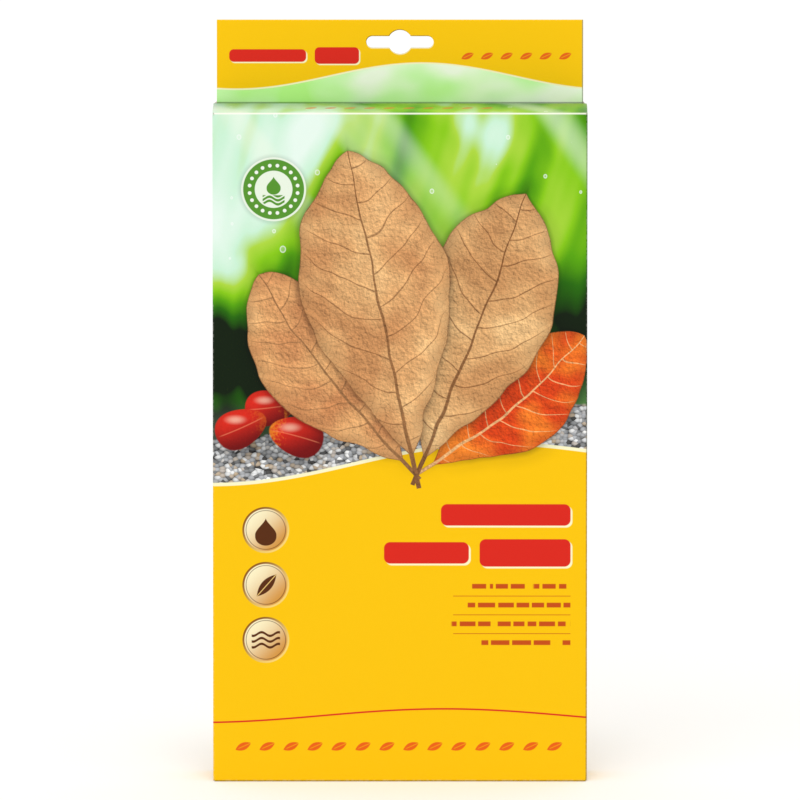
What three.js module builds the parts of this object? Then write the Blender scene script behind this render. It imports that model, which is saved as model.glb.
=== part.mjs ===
// A tall, shallow folding carton with a two-ply hang tab, and the stack of dried leaves that it holds.
// Millimetres, +Z up. The front faces -Y. The origin is the middle of the carton's underside.
import * as THREE from "three";

// Driving dimensions of the carton
const WIDTH = 184;
const DEPTH = 30;
const BODY_HEIGHT = 334;
const HEADER_HEIGHT = 41.5;
const HEADER_INSET = 2;
const BOARD = 0.5;
const GAP = 0.3;

// Euro slot in the hang tab: a long bar with a round bulge in the middle
const SLOT_LENGTH = 33;
const SLOT_HEIGHT = 5.8;
const SLOT_BULGE_DIAMETER = 12;
const SLOT_BELOW_TOP = 11.1;

// Flaps
const HEADER_PLY_LAP = 14;
const GLUE_FLAP_WIDTH = 15;
const GLUE_FLAP_TAPER = 8;
const TUCK_LENGTH = 11;
const TUCK_ROOT = 0.8;
const TUCK_SIDE_CLEARANCE = 8;
const TUCK_CORNER_RADIUS = 7;
const TUCK_REST_TILT = THREE.MathUtils.degToRad(-8);
const DUST_FLAP_LENGTH = 27;
const DUST_FLAP_FRONT_SLOPE = 0.4;
const DUST_FLAP_FRONT_RELIEF = 1.1;
const DUST_FLAP_BACK_ROOT = 12.5;
const DUST_FLAP_BACK_TIP = 12;
const BOTTOM_DUST_TAPER = 5;

// Leaves
const LEAF_COUNT = 10;
const LEAF_PITCH = 2.2;
const FIRST_LEAF_Y = -8.8;
const LEAF_LENGTH = 320;
const LEAF_WIDTH = 150;
const LEAF_LENGTH_SPREAD = 0.05;
const LEAF_WIDTH_SPREAD = 0.05;
const LEAF_TURN = THREE.MathUtils.degToRad(1.4);
const LEAF_SIDESTEP = 3;
const LEAF_BOW = 3;
const LAST_LEAF_LENGTH = 310;
const LEAF_SEED = 20;

// A leaf's outline: the blade swells by a sine of its length's power, so it is widest past the middle
const BLADE_SKEW = 1.3;
const BLADE_FULLNESS = 0.74;
const SCALLOP_DEPTH = 0.012;
const SCALLOP_RATE = 34;
const STALK_LENGTH = 16;
const STALK_HALF_WIDTH = 2;
const TIP_HALF_WIDTH = 1.2;

// A leaf's thickness and its waves
const BLADE_THICKNESS = 0.6;
const RIB_HALF_WIDTH = 1.5;
const RIB_HEIGHT = 1.1;
const RIB_TAPER = 0.75;
const SHARED_WAVE = 0.55;
const SHARED_WAVE_LENGTH = 31;
const SHARED_WAVE_WIDTH = 42;
const SHARED_WAVE_START = 0.8;
const OWN_WAVE = 0.4;
const OWN_WAVE_LENGTH = 24;
const OWN_WAVE_SPREAD = 6;

// The grid of a leaf's blade: rows along it, and columns at shares of the way from the rib to the edge
const LEAF_ROWS = 25;
const LEAF_STALK_ROWS = 2;
const ROW_CROWDING = 0.45;
const LEAF_COLUMNS = [0.3, 0.66, 1];

// Planes that the dimensions above give
const OUTSIDE_SIDE = WIDTH / 2;
const INSIDE_SIDE = OUTSIDE_SIDE - BOARD;
const OUTSIDE_BACK = DEPTH / 2;
const INSIDE_BACK = OUTSIDE_BACK - BOARD;
const OUTSIDE_FRONT = -OUTSIDE_BACK;
const INSIDE_FRONT = -INSIDE_BACK;
const LID_UNDERSIDE = BODY_HEIGHT - BOARD;
const HEADER_TOP = BODY_HEIGHT + HEADER_HEIGHT;
const SLOT_MIDDLE = HEADER_TOP - SLOT_BELOW_TOP;
const HEADER_SIDE = OUTSIDE_SIDE - HEADER_INSET;
const HEADER_FACE = INSIDE_BACK - BOARD;
const LID_BACK = HEADER_FACE - GAP;
const HEADER_PLY_FOOT = BODY_HEIGHT - HEADER_PLY_LAP;
const DUST_FLAP_TOP = LID_UNDERSIDE - GAP;
const FLOOR_OF_STACK = 2 * BOARD;

const group = new THREE.Group();

const printedBoard = new THREE.MeshStandardMaterial({ color: 0xfdc903, roughness: 0.32, metalness: 0 });
const printedHeader = new THREE.MeshStandardMaterial({ color: 0xbceeb4, roughness: 0.32, metalness: 0 });
const plainBoard = new THREE.MeshStandardMaterial({ color: 0xd9d4c8, roughness: 0.8, metalness: 0 });
const driedLeaf = new THREE.MeshStandardMaterial({ color: 0xb98453, roughness: 0.75, metalness: 0 });

function addMesh(parent, name, geometry, material) {
  const mesh = new THREE.Mesh(geometry, material);
  mesh.name = name;
  parent.add(mesh);
  return mesh;
}

// A rectangular sheet of board, given by its lowest and highest corners
function addSheet(name, low, high, material) {
  const size = high.map((value, axis) => value - low[axis]);
  const mesh = addMesh(group, name, new THREE.BoxGeometry(...size), material);
  mesh.position.set(...high.map((value, axis) => (value + low[axis]) / 2));
  return mesh;
}

function polygon(points) {
  return new THREE.Shape(points.map(([x, y]) => new THREE.Vector2(x, y)));
}

function boardFrom(shape) {
  return new THREE.ExtrudeGeometry(shape, { depth: BOARD, bevelEnabled: false, curveSegments: 10 });
}

// A board drawn in X and Z, standing upright with its back at the given Y
function addUprightBoard(name, shape, backY, material) {
  const mesh = addMesh(group, name, boardFrom(shape), material);
  mesh.rotation.x = Math.PI / 2;
  mesh.position.y = backY;
  return mesh;
}

// A board drawn in X and Y, lying flat with its underside at the given Z
function addFlatBoard(name, shape, undersideZ, material) {
  const mesh = addMesh(group, name, boardFrom(shape), material);
  mesh.position.z = undersideZ;
  return mesh;
}

// The euro slot's outline: two round ends, and a round bulge that stands out above and below the bar
function euroSlot() {
  const end = SLOT_HEIGHT / 2;
  const bulge = SLOT_BULGE_DIAMETER / 2;
  const endCentre = SLOT_LENGTH / 2 - end;
  const bulgeStart = Math.asin(end / bulge);
  const hole = new THREE.Path();
  hole.moveTo(-endCentre, SLOT_MIDDLE - end);
  hole.absarc(0, SLOT_MIDDLE, bulge, Math.PI + bulgeStart, 2 * Math.PI - bulgeStart, false);
  hole.absarc(endCentre, SLOT_MIDDLE, end, -Math.PI / 2, Math.PI / 2, false);
  hole.absarc(0, SLOT_MIDDLE, bulge, bulgeStart, Math.PI - bulgeStart, false);
  hole.absarc(-endCentre, SLOT_MIDDLE, end, Math.PI / 2, 1.5 * Math.PI, false);
  return hole;
}

// A ply of the header, a little narrower than the sleeve, down to the given Z
function headerPly(footZ) {
  const shape = polygon([
    [-HEADER_SIDE, footZ],
    [HEADER_SIDE, footZ],
    [HEADER_SIDE, HEADER_TOP],
    [-HEADER_SIDE, HEADER_TOP],
  ]);
  shape.holes.push(euroSlot());
  return shape;
}

function buildSleeve() {
  const side = OUTSIDE_SIDE;
  addSheet("front_panel", [-side, OUTSIDE_FRONT, 0], [side, INSIDE_FRONT, LID_UNDERSIDE], printedBoard);
  addSheet("back_panel", [-side, INSIDE_BACK, 0], [side, OUTSIDE_BACK, BODY_HEIGHT], printedBoard);
  const sideTop = DUST_FLAP_TOP;
  addSheet("left_side_panel", [-side, INSIDE_FRONT, 0], [-INSIDE_SIDE, INSIDE_BACK, sideTop], printedBoard);
  addSheet("right_side_panel", [INSIDE_SIDE, INSIDE_FRONT, 0], [side, INSIDE_BACK, sideTop], printedBoard);

  const inner = -INSIDE_SIDE + GLUE_FLAP_WIDTH;
  const foot = FLOOR_OF_STACK + BOARD + GAP;
  const top = HEADER_PLY_FOOT - 2 * GAP;
  const glueFlap = polygon([
    [-INSIDE_SIDE, foot],
    [inner, foot + GLUE_FLAP_TAPER],
    [inner, top - GLUE_FLAP_TAPER],
    [-INSIDE_SIDE, top],
  ]);
  addUprightBoard("glue_flap", glueFlap, INSIDE_BACK, plainBoard);
}

function buildHeader() {
  addUprightBoard("header_back_ply", headerPly(BODY_HEIGHT), OUTSIDE_BACK, printedHeader);
  addUprightBoard("header_front_ply", headerPly(HEADER_PLY_FOOT), INSIDE_BACK, printedHeader);
}

function buildBottom() {
  const low = [-INSIDE_SIDE, INSIDE_FRONT];
  const high = [INSIDE_SIDE, INSIDE_BACK];
  addSheet("bottom_outer_flap", [...low, 0], [...high, BOARD], printedBoard);
  addSheet("bottom_inner_flap", [...low, BOARD], [...high, FLOOR_OF_STACK], plainBoard);
  for (const [name, sign] of [["bottom_dust_flap_left", -1], ["bottom_dust_flap_right", 1]]) {
    const root = sign * INSIDE_SIDE;
    const tip = sign * (INSIDE_SIDE - DUST_FLAP_LENGTH);
    const flap = polygon([
      [root, INSIDE_FRONT + GAP],
      [root, INSIDE_BACK - BOARD - GAP],
      [tip, INSIDE_BACK - BOTTOM_DUST_TAPER],
      [tip, INSIDE_FRONT + BOTTOM_DUST_TAPER],
    ]);
    addFlatBoard(name, flap, FLOOR_OF_STACK, plainBoard);
  }
}

function buildLid() {
  const side = OUTSIDE_SIDE - GAP;
  addSheet("lid", [-side, OUTSIDE_FRONT, LID_UNDERSIDE], [side, LID_BACK, BODY_HEIGHT], printedHeader);

  const hinge = new THREE.Group();
  hinge.position.set(0, LID_BACK, BODY_HEIGHT);
  hinge.rotation.x = TUCK_REST_TILT;
  group.add(hinge);
  const half = INSIDE_SIDE - TUCK_SIDE_CLEARANCE;
  const bend = half - TUCK_CORNER_RADIUS;
  const bendZ = -TUCK_LENGTH + TUCK_CORNER_RADIUS;
  const flap = new THREE.Shape();
  flap.moveTo(half, -TUCK_ROOT);
  flap.lineTo(-half, -TUCK_ROOT);
  flap.absarc(-bend, bendZ, TUCK_CORNER_RADIUS, Math.PI, 1.5 * Math.PI, false);
  flap.absarc(bend, bendZ, TUCK_CORNER_RADIUS, 1.5 * Math.PI, 2 * Math.PI, false);
  const tuck = addMesh(hinge, "tuck_flap", boardFrom(flap), plainBoard);
  tuck.rotation.x = Math.PI / 2;
}

// The front edge slopes back, so that the rising flap stays under the rising lid
function buildDustFlaps() {
  for (const [name, sign] of [["dust_flap_left", -1], ["dust_flap_right", 1]]) {
    const frontAt = (reach) => OUTSIDE_FRONT + DUST_FLAP_FRONT_RELIEF + DUST_FLAP_FRONT_SLOPE * reach;
    const root = sign * (INSIDE_SIDE - GAP);
    const tip = sign * (INSIDE_SIDE - DUST_FLAP_LENGTH);
    const flap = polygon([
      [root, frontAt(GAP) + GAP],
      [root, DUST_FLAP_BACK_ROOT],
      [tip, DUST_FLAP_BACK_TIP],
      [tip, frontAt(DUST_FLAP_LENGTH)],
    ]);
    addFlatBoard(name, flap, DUST_FLAP_TOP - BOARD, plainBoard);
  }
}

// Seeded draws in the range -1 to 1
function makeRandom(seed) {
  let state = seed;
  return () => {
    state = (state * 1664525 + 1013904223) % 4294967296;
    return state / 2147483648 - 1;
  };
}

// Half the blade's width at a share of its length
function bladeHalfWidth(share, width) {
  const swell = Math.sin(Math.PI * Math.pow(share, BLADE_SKEW));
  const scallop = 1 + SCALLOP_DEPTH * Math.sin(SCALLOP_RATE * share);
  return (width / 2) * Math.pow(Math.max(swell, 0), BLADE_FULLNESS) * scallop;
}

// The rows of one leaf from the stalk's foot to the tip, as a height and a half width.
// They crowd towards both ends of the blade, where the outline turns most.
function leafRows(length, width) {
  const rows = [];
  for (let row = 0; row < LEAF_STALK_ROWS; row += 1) {
    rows.push([(STALK_LENGTH * row) / LEAF_STALK_ROWS, STALK_HALF_WIDTH]);
  }
  const bladeRows = LEAF_ROWS - LEAF_STALK_ROWS;
  for (let row = 0; row <= bladeRows; row += 1) {
    const even = row / bladeRows;
    const eased = (1 - Math.cos(Math.PI * even)) / 2;
    const share = THREE.MathUtils.lerp(even, eased, ROW_CROWDING);
    const least = THREE.MathUtils.lerp(STALK_HALF_WIDTH, TIP_HALF_WIDTH, share);
    const halfWidth = Math.max(bladeHalfWidth(share, width), least);
    rows.push([STALK_LENGTH + (length - STALK_LENGTH) * share, halfWidth]);
  }
  return rows;
}

// Where the columns of a row lie to the left and right of the midrib
function columnReaches(halfWidth) {
  const rib = Math.min(RIB_HALF_WIDTH, 0.4 * halfWidth);
  const right = LEAF_COLUMNS.map((share) => THREE.MathUtils.lerp(rib, halfWidth, share));
  const left = right.map((reach) => -reach).reverse();
  return [...left, -rib, 0, rib, ...right];
}

// How far the blade waves out of its plane: a long wave that the whole stack shares, and a smaller one
// of each leaf's own, which starts at the midrib and grows towards the edge
function waveAt(leaf, reach, height) {
  const along = Math.sin(height / SHARED_WAVE_LENGTH + SHARED_WAVE_START);
  const shared = SHARED_WAVE * along * Math.cos(reach / SHARED_WAVE_WIDTH);
  const growth = THREE.MathUtils.clamp(reach / (LEAF_WIDTH / 2), -1, 1);
  return shared + OWN_WAVE * growth * Math.sin(height / leaf.waveLength + leaf.phase);
}

// The triangles of a closed blade whose front and back are the same grid, split alike, with a rim between
function bladeTriangles(rowCount, columnCount) {
  const backStart = rowCount * columnCount;
  const index = [];
  for (let row = 0; row + 1 < rowCount; row += 1) {
    for (let column = 0; column + 1 < columnCount; column += 1) {
      const a = row * columnCount + column;
      const b = a + 1;
      const c = a + columnCount;
      const d = c + 1;
      index.push(a, b, d, a, d, c);
      index.push(backStart + a, backStart + d, backStart + b, backStart + a, backStart + c, backStart + d);
    }
  }
  const rim = [];
  const lastRow = (rowCount - 1) * columnCount;
  for (let column = 0; column < columnCount; column += 1) {
    rim.push(column);
  }
  for (let row = 1; row < rowCount; row += 1) {
    rim.push(row * columnCount + columnCount - 1);
  }
  for (let column = columnCount - 2; column >= 0; column -= 1) {
    rim.push(lastRow + column);
  }
  for (let row = rowCount - 2; row > 0; row -= 1) {
    rim.push(row * columnCount);
  }
  rim.forEach((here, step) => {
    const next = rim[(step + 1) % rim.length];
    index.push(here, backStart + here, backStart + next, here, backStart + next, next);
  });
  return index;
}

// One dried leaf. Its back face lies the blade's thickness behind the front one, and the midrib and
// the stalk stand out of it as a ridge that gets lower towards the tip.
function leafGeometry(leaf) {
  const rows = leafRows(leaf.length, leaf.width);
  const front = [];
  const back = [];
  for (const [height, halfWidth] of rows) {
    const middle = leaf.x + leaf.bow * Math.sin((Math.PI * height) / leaf.length);
    const ridge = RIB_HEIGHT * (1 - (RIB_TAPER * height) / leaf.length);
    for (const reach of columnReaches(halfWidth)) {
      const x = middle + reach * Math.cos(leaf.turn) + height * Math.sin(leaf.turn);
      const z = leaf.foot + height * Math.cos(leaf.turn) - reach * Math.sin(leaf.turn);
      const y = leaf.y + waveAt(leaf, reach, height);
      front.push(x, y, z);
      back.push(x, y + BLADE_THICKNESS + (reach === 0 ? ridge : 0), z);
    }
  }
  const geometry = new THREE.BufferGeometry();
  geometry.setAttribute("position", new THREE.Float32BufferAttribute([...front, ...back], 3));
  geometry.setIndex(bladeTriangles(rows.length, 2 * LEAF_COLUMNS.length + 3));
  return geometry;
}

function buildLeaves() {
  const random = makeRandom(LEAF_SEED);
  for (let number = 1; number <= LEAF_COUNT; number += 1) {
    const length = LEAF_LENGTH * (1 - LEAF_LENGTH_SPREAD * (0.5 + 0.5 * random()));
    const leaf = {
      length: number === LEAF_COUNT ? Math.min(length, LAST_LEAF_LENGTH) : length,
      width: LEAF_WIDTH * (1 + LEAF_WIDTH_SPREAD * random()),
      turn: LEAF_TURN * random(),
      x: LEAF_SIDESTEP * random(),
      y: FIRST_LEAF_Y + LEAF_PITCH * (number - 1),
      bow: LEAF_BOW * random(),
      phase: Math.PI * random(),
      waveLength: OWN_WAVE_LENGTH + OWN_WAVE_SPREAD * random(),
      foot: FLOOR_OF_STACK + 2 * GAP,
    };
    addMesh(group, `leaf_${String(number).padStart(2, "0")}`, leafGeometry(leaf), driedLeaf);
  }
}

buildSleeve();
buildHeader();
buildBottom();
buildLid();
buildDustFlaps();
buildLeaves();

export default group;
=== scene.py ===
"""A hanging folding carton of dried leaves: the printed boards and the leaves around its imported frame.

Lengths are millimetres until a mesh is made. The front faces -Y and +Z is up.
"""

import math

import bpy
import numpy as np
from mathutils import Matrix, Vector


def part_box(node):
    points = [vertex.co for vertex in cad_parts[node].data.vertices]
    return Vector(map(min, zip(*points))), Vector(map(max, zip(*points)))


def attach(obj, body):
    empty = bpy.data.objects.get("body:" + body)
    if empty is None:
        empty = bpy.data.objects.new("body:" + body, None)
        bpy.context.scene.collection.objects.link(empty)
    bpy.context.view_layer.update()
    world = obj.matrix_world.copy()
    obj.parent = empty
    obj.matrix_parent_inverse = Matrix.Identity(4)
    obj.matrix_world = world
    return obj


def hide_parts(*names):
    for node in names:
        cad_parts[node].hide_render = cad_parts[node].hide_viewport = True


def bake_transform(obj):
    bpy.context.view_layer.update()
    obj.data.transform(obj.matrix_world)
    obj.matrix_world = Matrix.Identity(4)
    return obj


bl_info = {
    "name": "Hanging carton of dried leaves",
    "version": (1, 0, 0),
    "blender": (4, 5, 0),
    "location": "3D View > Sidebar > Leaf Carton",
    "description": "Builds a printed folding carton with a hang tab, and the stack of dried leaves in it",
    "category": "Object",
}

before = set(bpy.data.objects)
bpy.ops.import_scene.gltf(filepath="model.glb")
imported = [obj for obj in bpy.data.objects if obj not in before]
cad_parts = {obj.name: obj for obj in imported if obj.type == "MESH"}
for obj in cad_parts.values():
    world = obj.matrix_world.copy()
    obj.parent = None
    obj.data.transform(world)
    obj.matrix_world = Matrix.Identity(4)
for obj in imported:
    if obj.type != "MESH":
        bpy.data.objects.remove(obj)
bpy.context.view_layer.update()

MM = 0.001


def span(node):
    """Lowest and highest corner of a node of the frame, in millimetres."""
    return tuple(np.array(corner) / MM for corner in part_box(node))


# Planes of the carton, read from the frame
FRONT_LOW, FRONT_HIGH = span("front_panel")
BACK_HIGH = span("back_panel")[1]
TAB_LOW, TAB_HIGH = span("header_back_ply")
TAB_FRONT_LOW = span("header_front_ply")[0]
LID_HIGH = span("lid")[1]
GLUE_LOW, GLUE_HIGH = span("glue_flap")
DUST_LOW, DUST_HIGH = span("dust_flap_right")
FLOOR_DUST_LOW, FLOOR_DUST_HIGH = span("bottom_dust_flap_right")
FLOOR_OUTER_LOW, FLOOR_OUTER_HIGH = span("bottom_outer_flap")
FLOOR_INNER_LOW, FLOOR_INNER_HIGH = span("bottom_inner_flap")
BOARD = FRONT_HIGH[1] - FRONT_LOW[1]
SIDE = FRONT_HIGH[0]
FRONT_FACE = FRONT_LOW[1]
BACK_FACE = BACK_HIGH[1]
LID_TOP = LID_HIGH[2]
TAB_TOP = TAB_HIGH[2]

# Hems between boards that meet, the folds, and how far a crease's bending reaches
TOP_SEAM = LID_TOP - 1.8
FOOT_SEAM = 2.0
FOLD_RADIUS = 0.55
FOLD_STEPS = 7
CORNER_FOOT = 0.5
CORNER_TOP = LID_TOP - 0.7
CREASE_EDGE = SIDE - 0.25 - FOLD_RADIUS
HEM_FRONT = FRONT_FACE + 0.8
HEM_BACK = BACK_FACE - 1.35
HEM_LEFT = -SIDE + 0.3

# Meshes: the angle from which an edge is sharp, and the cut edge's place among a board's materials
SHARP_ANGLE = math.radians(40)
CUT_EDGE_SLOT = 2

# The tuck flap hangs from the lid's back edge, tilted a little forward
TUCK_TILT = math.radians(8)
TUCK_LENGTH = 11.0
TUCK_HALF_WIDTH = 83.5
TUCK_CORNER = 7.0
TUCK_SEAM = LID_HIGH[1] - 1.1

# How far the glue flap's ends draw in, how the dust flaps' edges slope, and how far the bottom ones draw in
GLUE_TAPER = 8
DUST_FRONT_SLOPE = 0.4
DUST_BACK_SLOPE = 0.0187
BOTTOM_DUST_LENGTH = 27.0
BOTTOM_DUST_FRONT_TAPER = 4.5
BOTTOM_DUST_BACK_TAPER = 4.0

# Euro slot
SLOT_LENGTH = 33.0
SLOT_HEIGHT = 5.8
SLOT_BULGE = 12.0
SLOT_MIDDLE = TAB_TOP - 11.1

# Where the printed field meets the picture, as a height that waves across the front
SHORE_HEIGHT = 160.0
SHORE_SWING = 7.0
SHORE_LENGTH = 38.0
SHORE_SLOPE = 0.05

# Leaves, as the frame holds them
LEAF_COUNT = 10
LEAF_SEED = 20
LEAF_LENGTH = 320
LAST_LEAF_LENGTH = 310
LEAF_WIDTH = 150
LEAF_SPREAD = 0.05
LEAF_TURN = math.radians(1.4)
LEAF_SIDESTEP = 3
LEAF_BOW = 3
LEAF_PITCH = 2.2
FIRST_LEAF_Y = -8.8
LEAF_STALK = 16.0
LEAF_FOOT = span("leaf_01")[0][2]

# A leaf's outline: its swell is a sine of a power of its length, with small scallops
BLADE_SKEW = 1.3
BLADE_FULLNESS = 0.74
SCALLOP_RATE = 34
STALK_HALF_WIDTH = 2
TIP_HALF_WIDTH = 1.2

# A leaf's waves and its midrib
SHARED_WAVE = 0.55
SHARED_WAVE_LENGTH = 31
SHARED_WAVE_WIDTH = 42
SHARED_WAVE_START = 0.8
OWN_WAVE = 0.4
OWN_WAVE_LENGTH = 24
OWN_WAVE_SPREAD = 6
RIB_HEIGHT = 1.1
RIB_TAPER = 0.75
RIB_HALF_WIDTH = 1.5

# A leaf's finer form: its grid, its nibbled edge and the groove along its midrib
STALK_ROWS = 9
ROW_CROWDING = 0.45
COLUMN_CROWDING = 1.25
NIBBLE_DEPTH = 1.6
VEIN_SPREAD = 1.1
GROOVE_DEPTH = 0.18
BLADE_BEHIND = 0.07

# Side veins of a leaf: pairs over its length, how they rise from the midrib, how they curl up, and how far
# apart they are as a share of the length, which narrows outwards
VEIN_PAIRS = 9
VEIN_LEAN = 0.25
VEIN_CURL = 2.6
VEIN_GAP = 0.97 / VEIN_PAIRS
VEIN_NARROWING = 0.2

# The drawing of a leaf: the length that a real one is drawn at, half its width as a share of that, how far
# each leaf's mottling is moved on from the last one's, and what spreads the rusty ones
DRAWN_LENGTH = 300
DRAWN_HALF_WIDTH = 0.235
PATTERN_STEP = 137.0
RUST_STEP = 0.137

# The studio, in metres
STAGE_HALF = 60.0
STAGE_SINK = 0.00002
CLIP_NEAR = 0.1
CLIP_FAR = 400


def ink(red, green, blue):
    """An sRGB colour of 0 to 255 as the linear one that a shader takes."""
    share = np.array((red, green, blue)) / 255
    linear = np.where(share <= 0.04045, share / 12.92, ((share + 0.055) / 1.055) ** 2.4)
    return tuple(float(value) for value in linear)


def length_prop(name, description, millimetres):
    """A length, whose default is given in millimetres."""
    return bpy.props.FloatProperty(
        name=name,
        description=description,
        default=millimetres * MM,
        min=0,
        precision=5,
        subtype="DISTANCE",
        unit="LENGTH",
    )


def colour_prop(name, description, red, green, blue):
    """A colour, whose default is given in sRGB from 0 to 255."""
    return bpy.props.FloatVectorProperty(
        name=name, description=description, default=ink(red, green, blue), min=0, max=1, subtype="COLOR"
    )


class CartonSizes(bpy.types.PropertyGroup):
    front_bow: length_prop("Front bow", "How far the front panel dips between its folds", 0.35)
    side_bow: length_prop("Side bow", "How far a side panel dips between its folds", 0.18)
    panel_rows: bpy.props.IntProperty(
        name="Panel rows", description="Rows of a panel's mesh", default=44, min=4
    )


class PrintColours(bpy.types.PropertyGroup):
    yellow: colour_prop("Yellow", "The printed field", 253, 200, 2)
    red: colour_prop("Red", "Title bars", 222, 40, 27)
    orange: colour_prop("Orange", "Row of small leaves", 236, 100, 20)
    russet: colour_prop("Russet", "Thin bars and rules", 200, 80, 20)
    cream: colour_prop("Cream", "Keylines and offsets", 255, 250, 205)
    mint: colour_prop("Mint", "Clear water", 206, 244, 216)
    green: colour_prop("Green", "Water plants", 88, 166, 6)
    umber: colour_prop("Umber", "Icons", 90, 45, 15)
    badge: colour_prop("Badge green", "Round badge", 88, 150, 48)
    board: colour_prop("Board", "Unprinted side of the board", 214, 208, 196)
    cut: colour_prop("Cut edge", "The board's cut edge", 226, 221, 210)


class LeafForm(bpy.types.PropertyGroup):
    rows: bpy.props.IntProperty(name="Rows", description="Rows along a leaf's blade", default=130, min=8)
    columns: bpy.props.IntProperty(name="Columns", description="Columns across a leaf", default=45, min=5)
    blade: length_prop("Blade", "Thickness of the blade", 0.45)
    vein: length_prop("Veins", "Height of the side veins", 0.16)
    pucker: length_prop("Pucker", "Height of the swellings between veins", 0.2)
    tan: colour_prop("Tan", "The dry blade", 218, 168, 112)
    shade: colour_prop("Shade", "The blade's darker patches", 199, 145, 93)
    pale: colour_prop("Pale", "The blade's lighter patches", 236, 192, 134)
    vein_colour: colour_prop("Vein", "Veins and midrib", 112, 66, 32)
    rust: colour_prop("Rust", "A red leaf's darker patches", 214, 66, 20)
    flame: colour_prop("Flame", "A red leaf's lighter patches", 246, 134, 42)


class StageSettings(bpy.types.PropertyGroup):
    distance: length_prop("Distance", "Camera to carton", 13000)
    height_angle: bpy.props.FloatProperty(
        name="Height angle",
        description="Camera above the horizon",
        default=math.radians(10.3),
        subtype="ANGLE",
    )
    frame_width: length_prop("Frame width", "Width that the picture takes in", 393)
    frame_middle: length_prop("Frame middle", "Height that the camera aims at", 190.95)
    floor: colour_prop("Floor", "The studio floor", 250, 250, 249)
    sky: bpy.props.FloatProperty(name="Sky", description="Light from all round", default=0.83)
    key: bpy.props.FloatProperty(name="Key", description="Soft light from the upper left", default=0.38)
    top: bpy.props.FloatProperty(name="Top", description="Light from above, for the folds", default=0.64)


GROUPS = {
    "carton_sizes": CartonSizes,
    "print_colours": PrintColours,
    "leaf_form": LeafForm,
    "stage_settings": StageSettings,
}


# Arithmetic on a material's nodes


class Num:
    """One output of a material's nodes, a number or a colour that varies over a surface, with arithmetic."""

    def __init__(self, socket):
        self.socket = socket

    def __add__(self, other):
        return math_node("ADD", self, other)

    def __sub__(self, other):
        return math_node("SUBTRACT", self, other)

    def __mul__(self, other):
        return math_node("MULTIPLY", self, other)

    def __truediv__(self, other):
        return math_node("DIVIDE", self, other)

    def __pow__(self, other):
        return math_node("POWER", self, other)

    def __rsub__(self, other):
        return math_node("SUBTRACT", other, self)

    def __neg__(self):
        return math_node("MULTIPLY", self, -1.0)

    def __abs__(self):
        return math_node("ABSOLUTE", self)

    __radd__ = __add__
    __rmul__ = __mul__


def feed(slot, value):
    """Gives an input a number or colour, or links it to another node's output."""
    if isinstance(value, Num):
        slot.id_data.links.new(value.socket, slot)
    else:
        slot.default_value = value


def add_node(tree, kind, inputs=None, **settings):
    """A new node of a tree, with its settings and the inputs that are given by name or number."""
    node = tree.nodes.new("ShaderNode" + kind)
    for name, value in settings.items():
        setattr(node, name, value)
    for key, value in (inputs or {}).items():
        feed(node.inputs[key], value)
    return node


def tree_of(*values):
    """The tree of the first of the values that comes from a node."""
    return next(value.socket.id_data for value in values if isinstance(value, Num))


def math_node(operation, *values):
    """The result of an operation on one or more numbers."""
    node = add_node(tree_of(*values), "Math", dict(enumerate(values)), operation=operation)
    return Num(node.outputs[0])


def least(a, b):
    return math_node("MINIMUM", a, b)


def most(a, b):
    return math_node("MAXIMUM", a, b)


def sine(value):
    return math_node("SINE", value)


def fraction(value):
    return math_node("FRACT", value)


def fade(value, start, end):
    """0 before start and 1 after end, with a smooth rise between. A start above the end turns it round."""
    limits = {"Value": value, "From Min": start, "From Max": end, "To Min": 0.0, "To Max": 1.0}
    if start > end:
        limits.update({"From Min": end, "From Max": start, "To Min": 1.0, "To Max": 0.0})
    node = add_node(tree_of(value), "MapRange", limits, interpolation_type="SMOOTHSTEP")
    return Num(node.outputs[0])


def line(value, middle, half_width, softness=0.25):
    """1 where a value is within half a width of a middle, with soft sides."""
    return fade(abs(value - middle), half_width + softness, half_width - softness)


def reach(x, z):
    """Distance from the origin: the root of the sum of the squares."""
    return math_node("SQRT", math_node("MULTIPLY_ADD", x, x, z * z))


def opaque(colour):
    """A plain colour with full alpha, or a node's colour as it is."""
    return colour if isinstance(colour, Num) else (*colour[:3], 1.0)


def mix(paint, top, cover):
    """A top colour laid over a paint where the cover is 1."""
    tree = tree_of(cover, paint, top)
    node = add_node(tree, "Mix", {0: cover, 6: opaque(paint), 7: opaque(top)}, data_type="RGBA")
    return Num(node.outputs[2])


def brighten(paint, amount):
    """A colour times a number."""
    node = add_node(tree_of(paint, amount), "VectorMath", {0: paint, "Scale": amount}, operation="SCALE")
    return Num(node.outputs[0])


def place(x, z):
    """A point of the drawing as a vector for a texture."""
    return Num(add_node(tree_of(x, z), "CombineXYZ", {0: x, 1: z}).outputs[0])


def noise(point, size, detail=2.0, roughness=0.5, distortion=0.0):
    """Soft noise from 0 to 1 whose blots are about a size across."""
    amounts = {"Scale": 1 / size, "Detail": detail, "Roughness": roughness, "Distortion": distortion}
    node = add_node(tree_of(point), "TexNoise", {"Vector": point, **amounts}, noise_dimensions="2D")
    return Num(node.outputs[0])


def cells(point, size, feature="F1"):
    """A tiling of rounded cells about a size across."""
    inputs = {"Vector": point, "Scale": 1 / size}
    return add_node(tree_of(point), "TexVoronoi", inputs, voronoi_dimensions="2D", feature=feature)


def ramp(value, *stops):
    """A colour that runs through the stops, each a place from 0 to 1 and a colour."""
    node = add_node(tree_of(value), "ValToRGB", {0: value})
    elements = node.color_ramp.elements
    for number, (at, colour) in enumerate(stops):
        element = elements[number] if number < 2 else elements.new(at)
        element.position = at
        element.color = (*colour[:3], 1.0)
    return Num(node.outputs[0])


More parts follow.
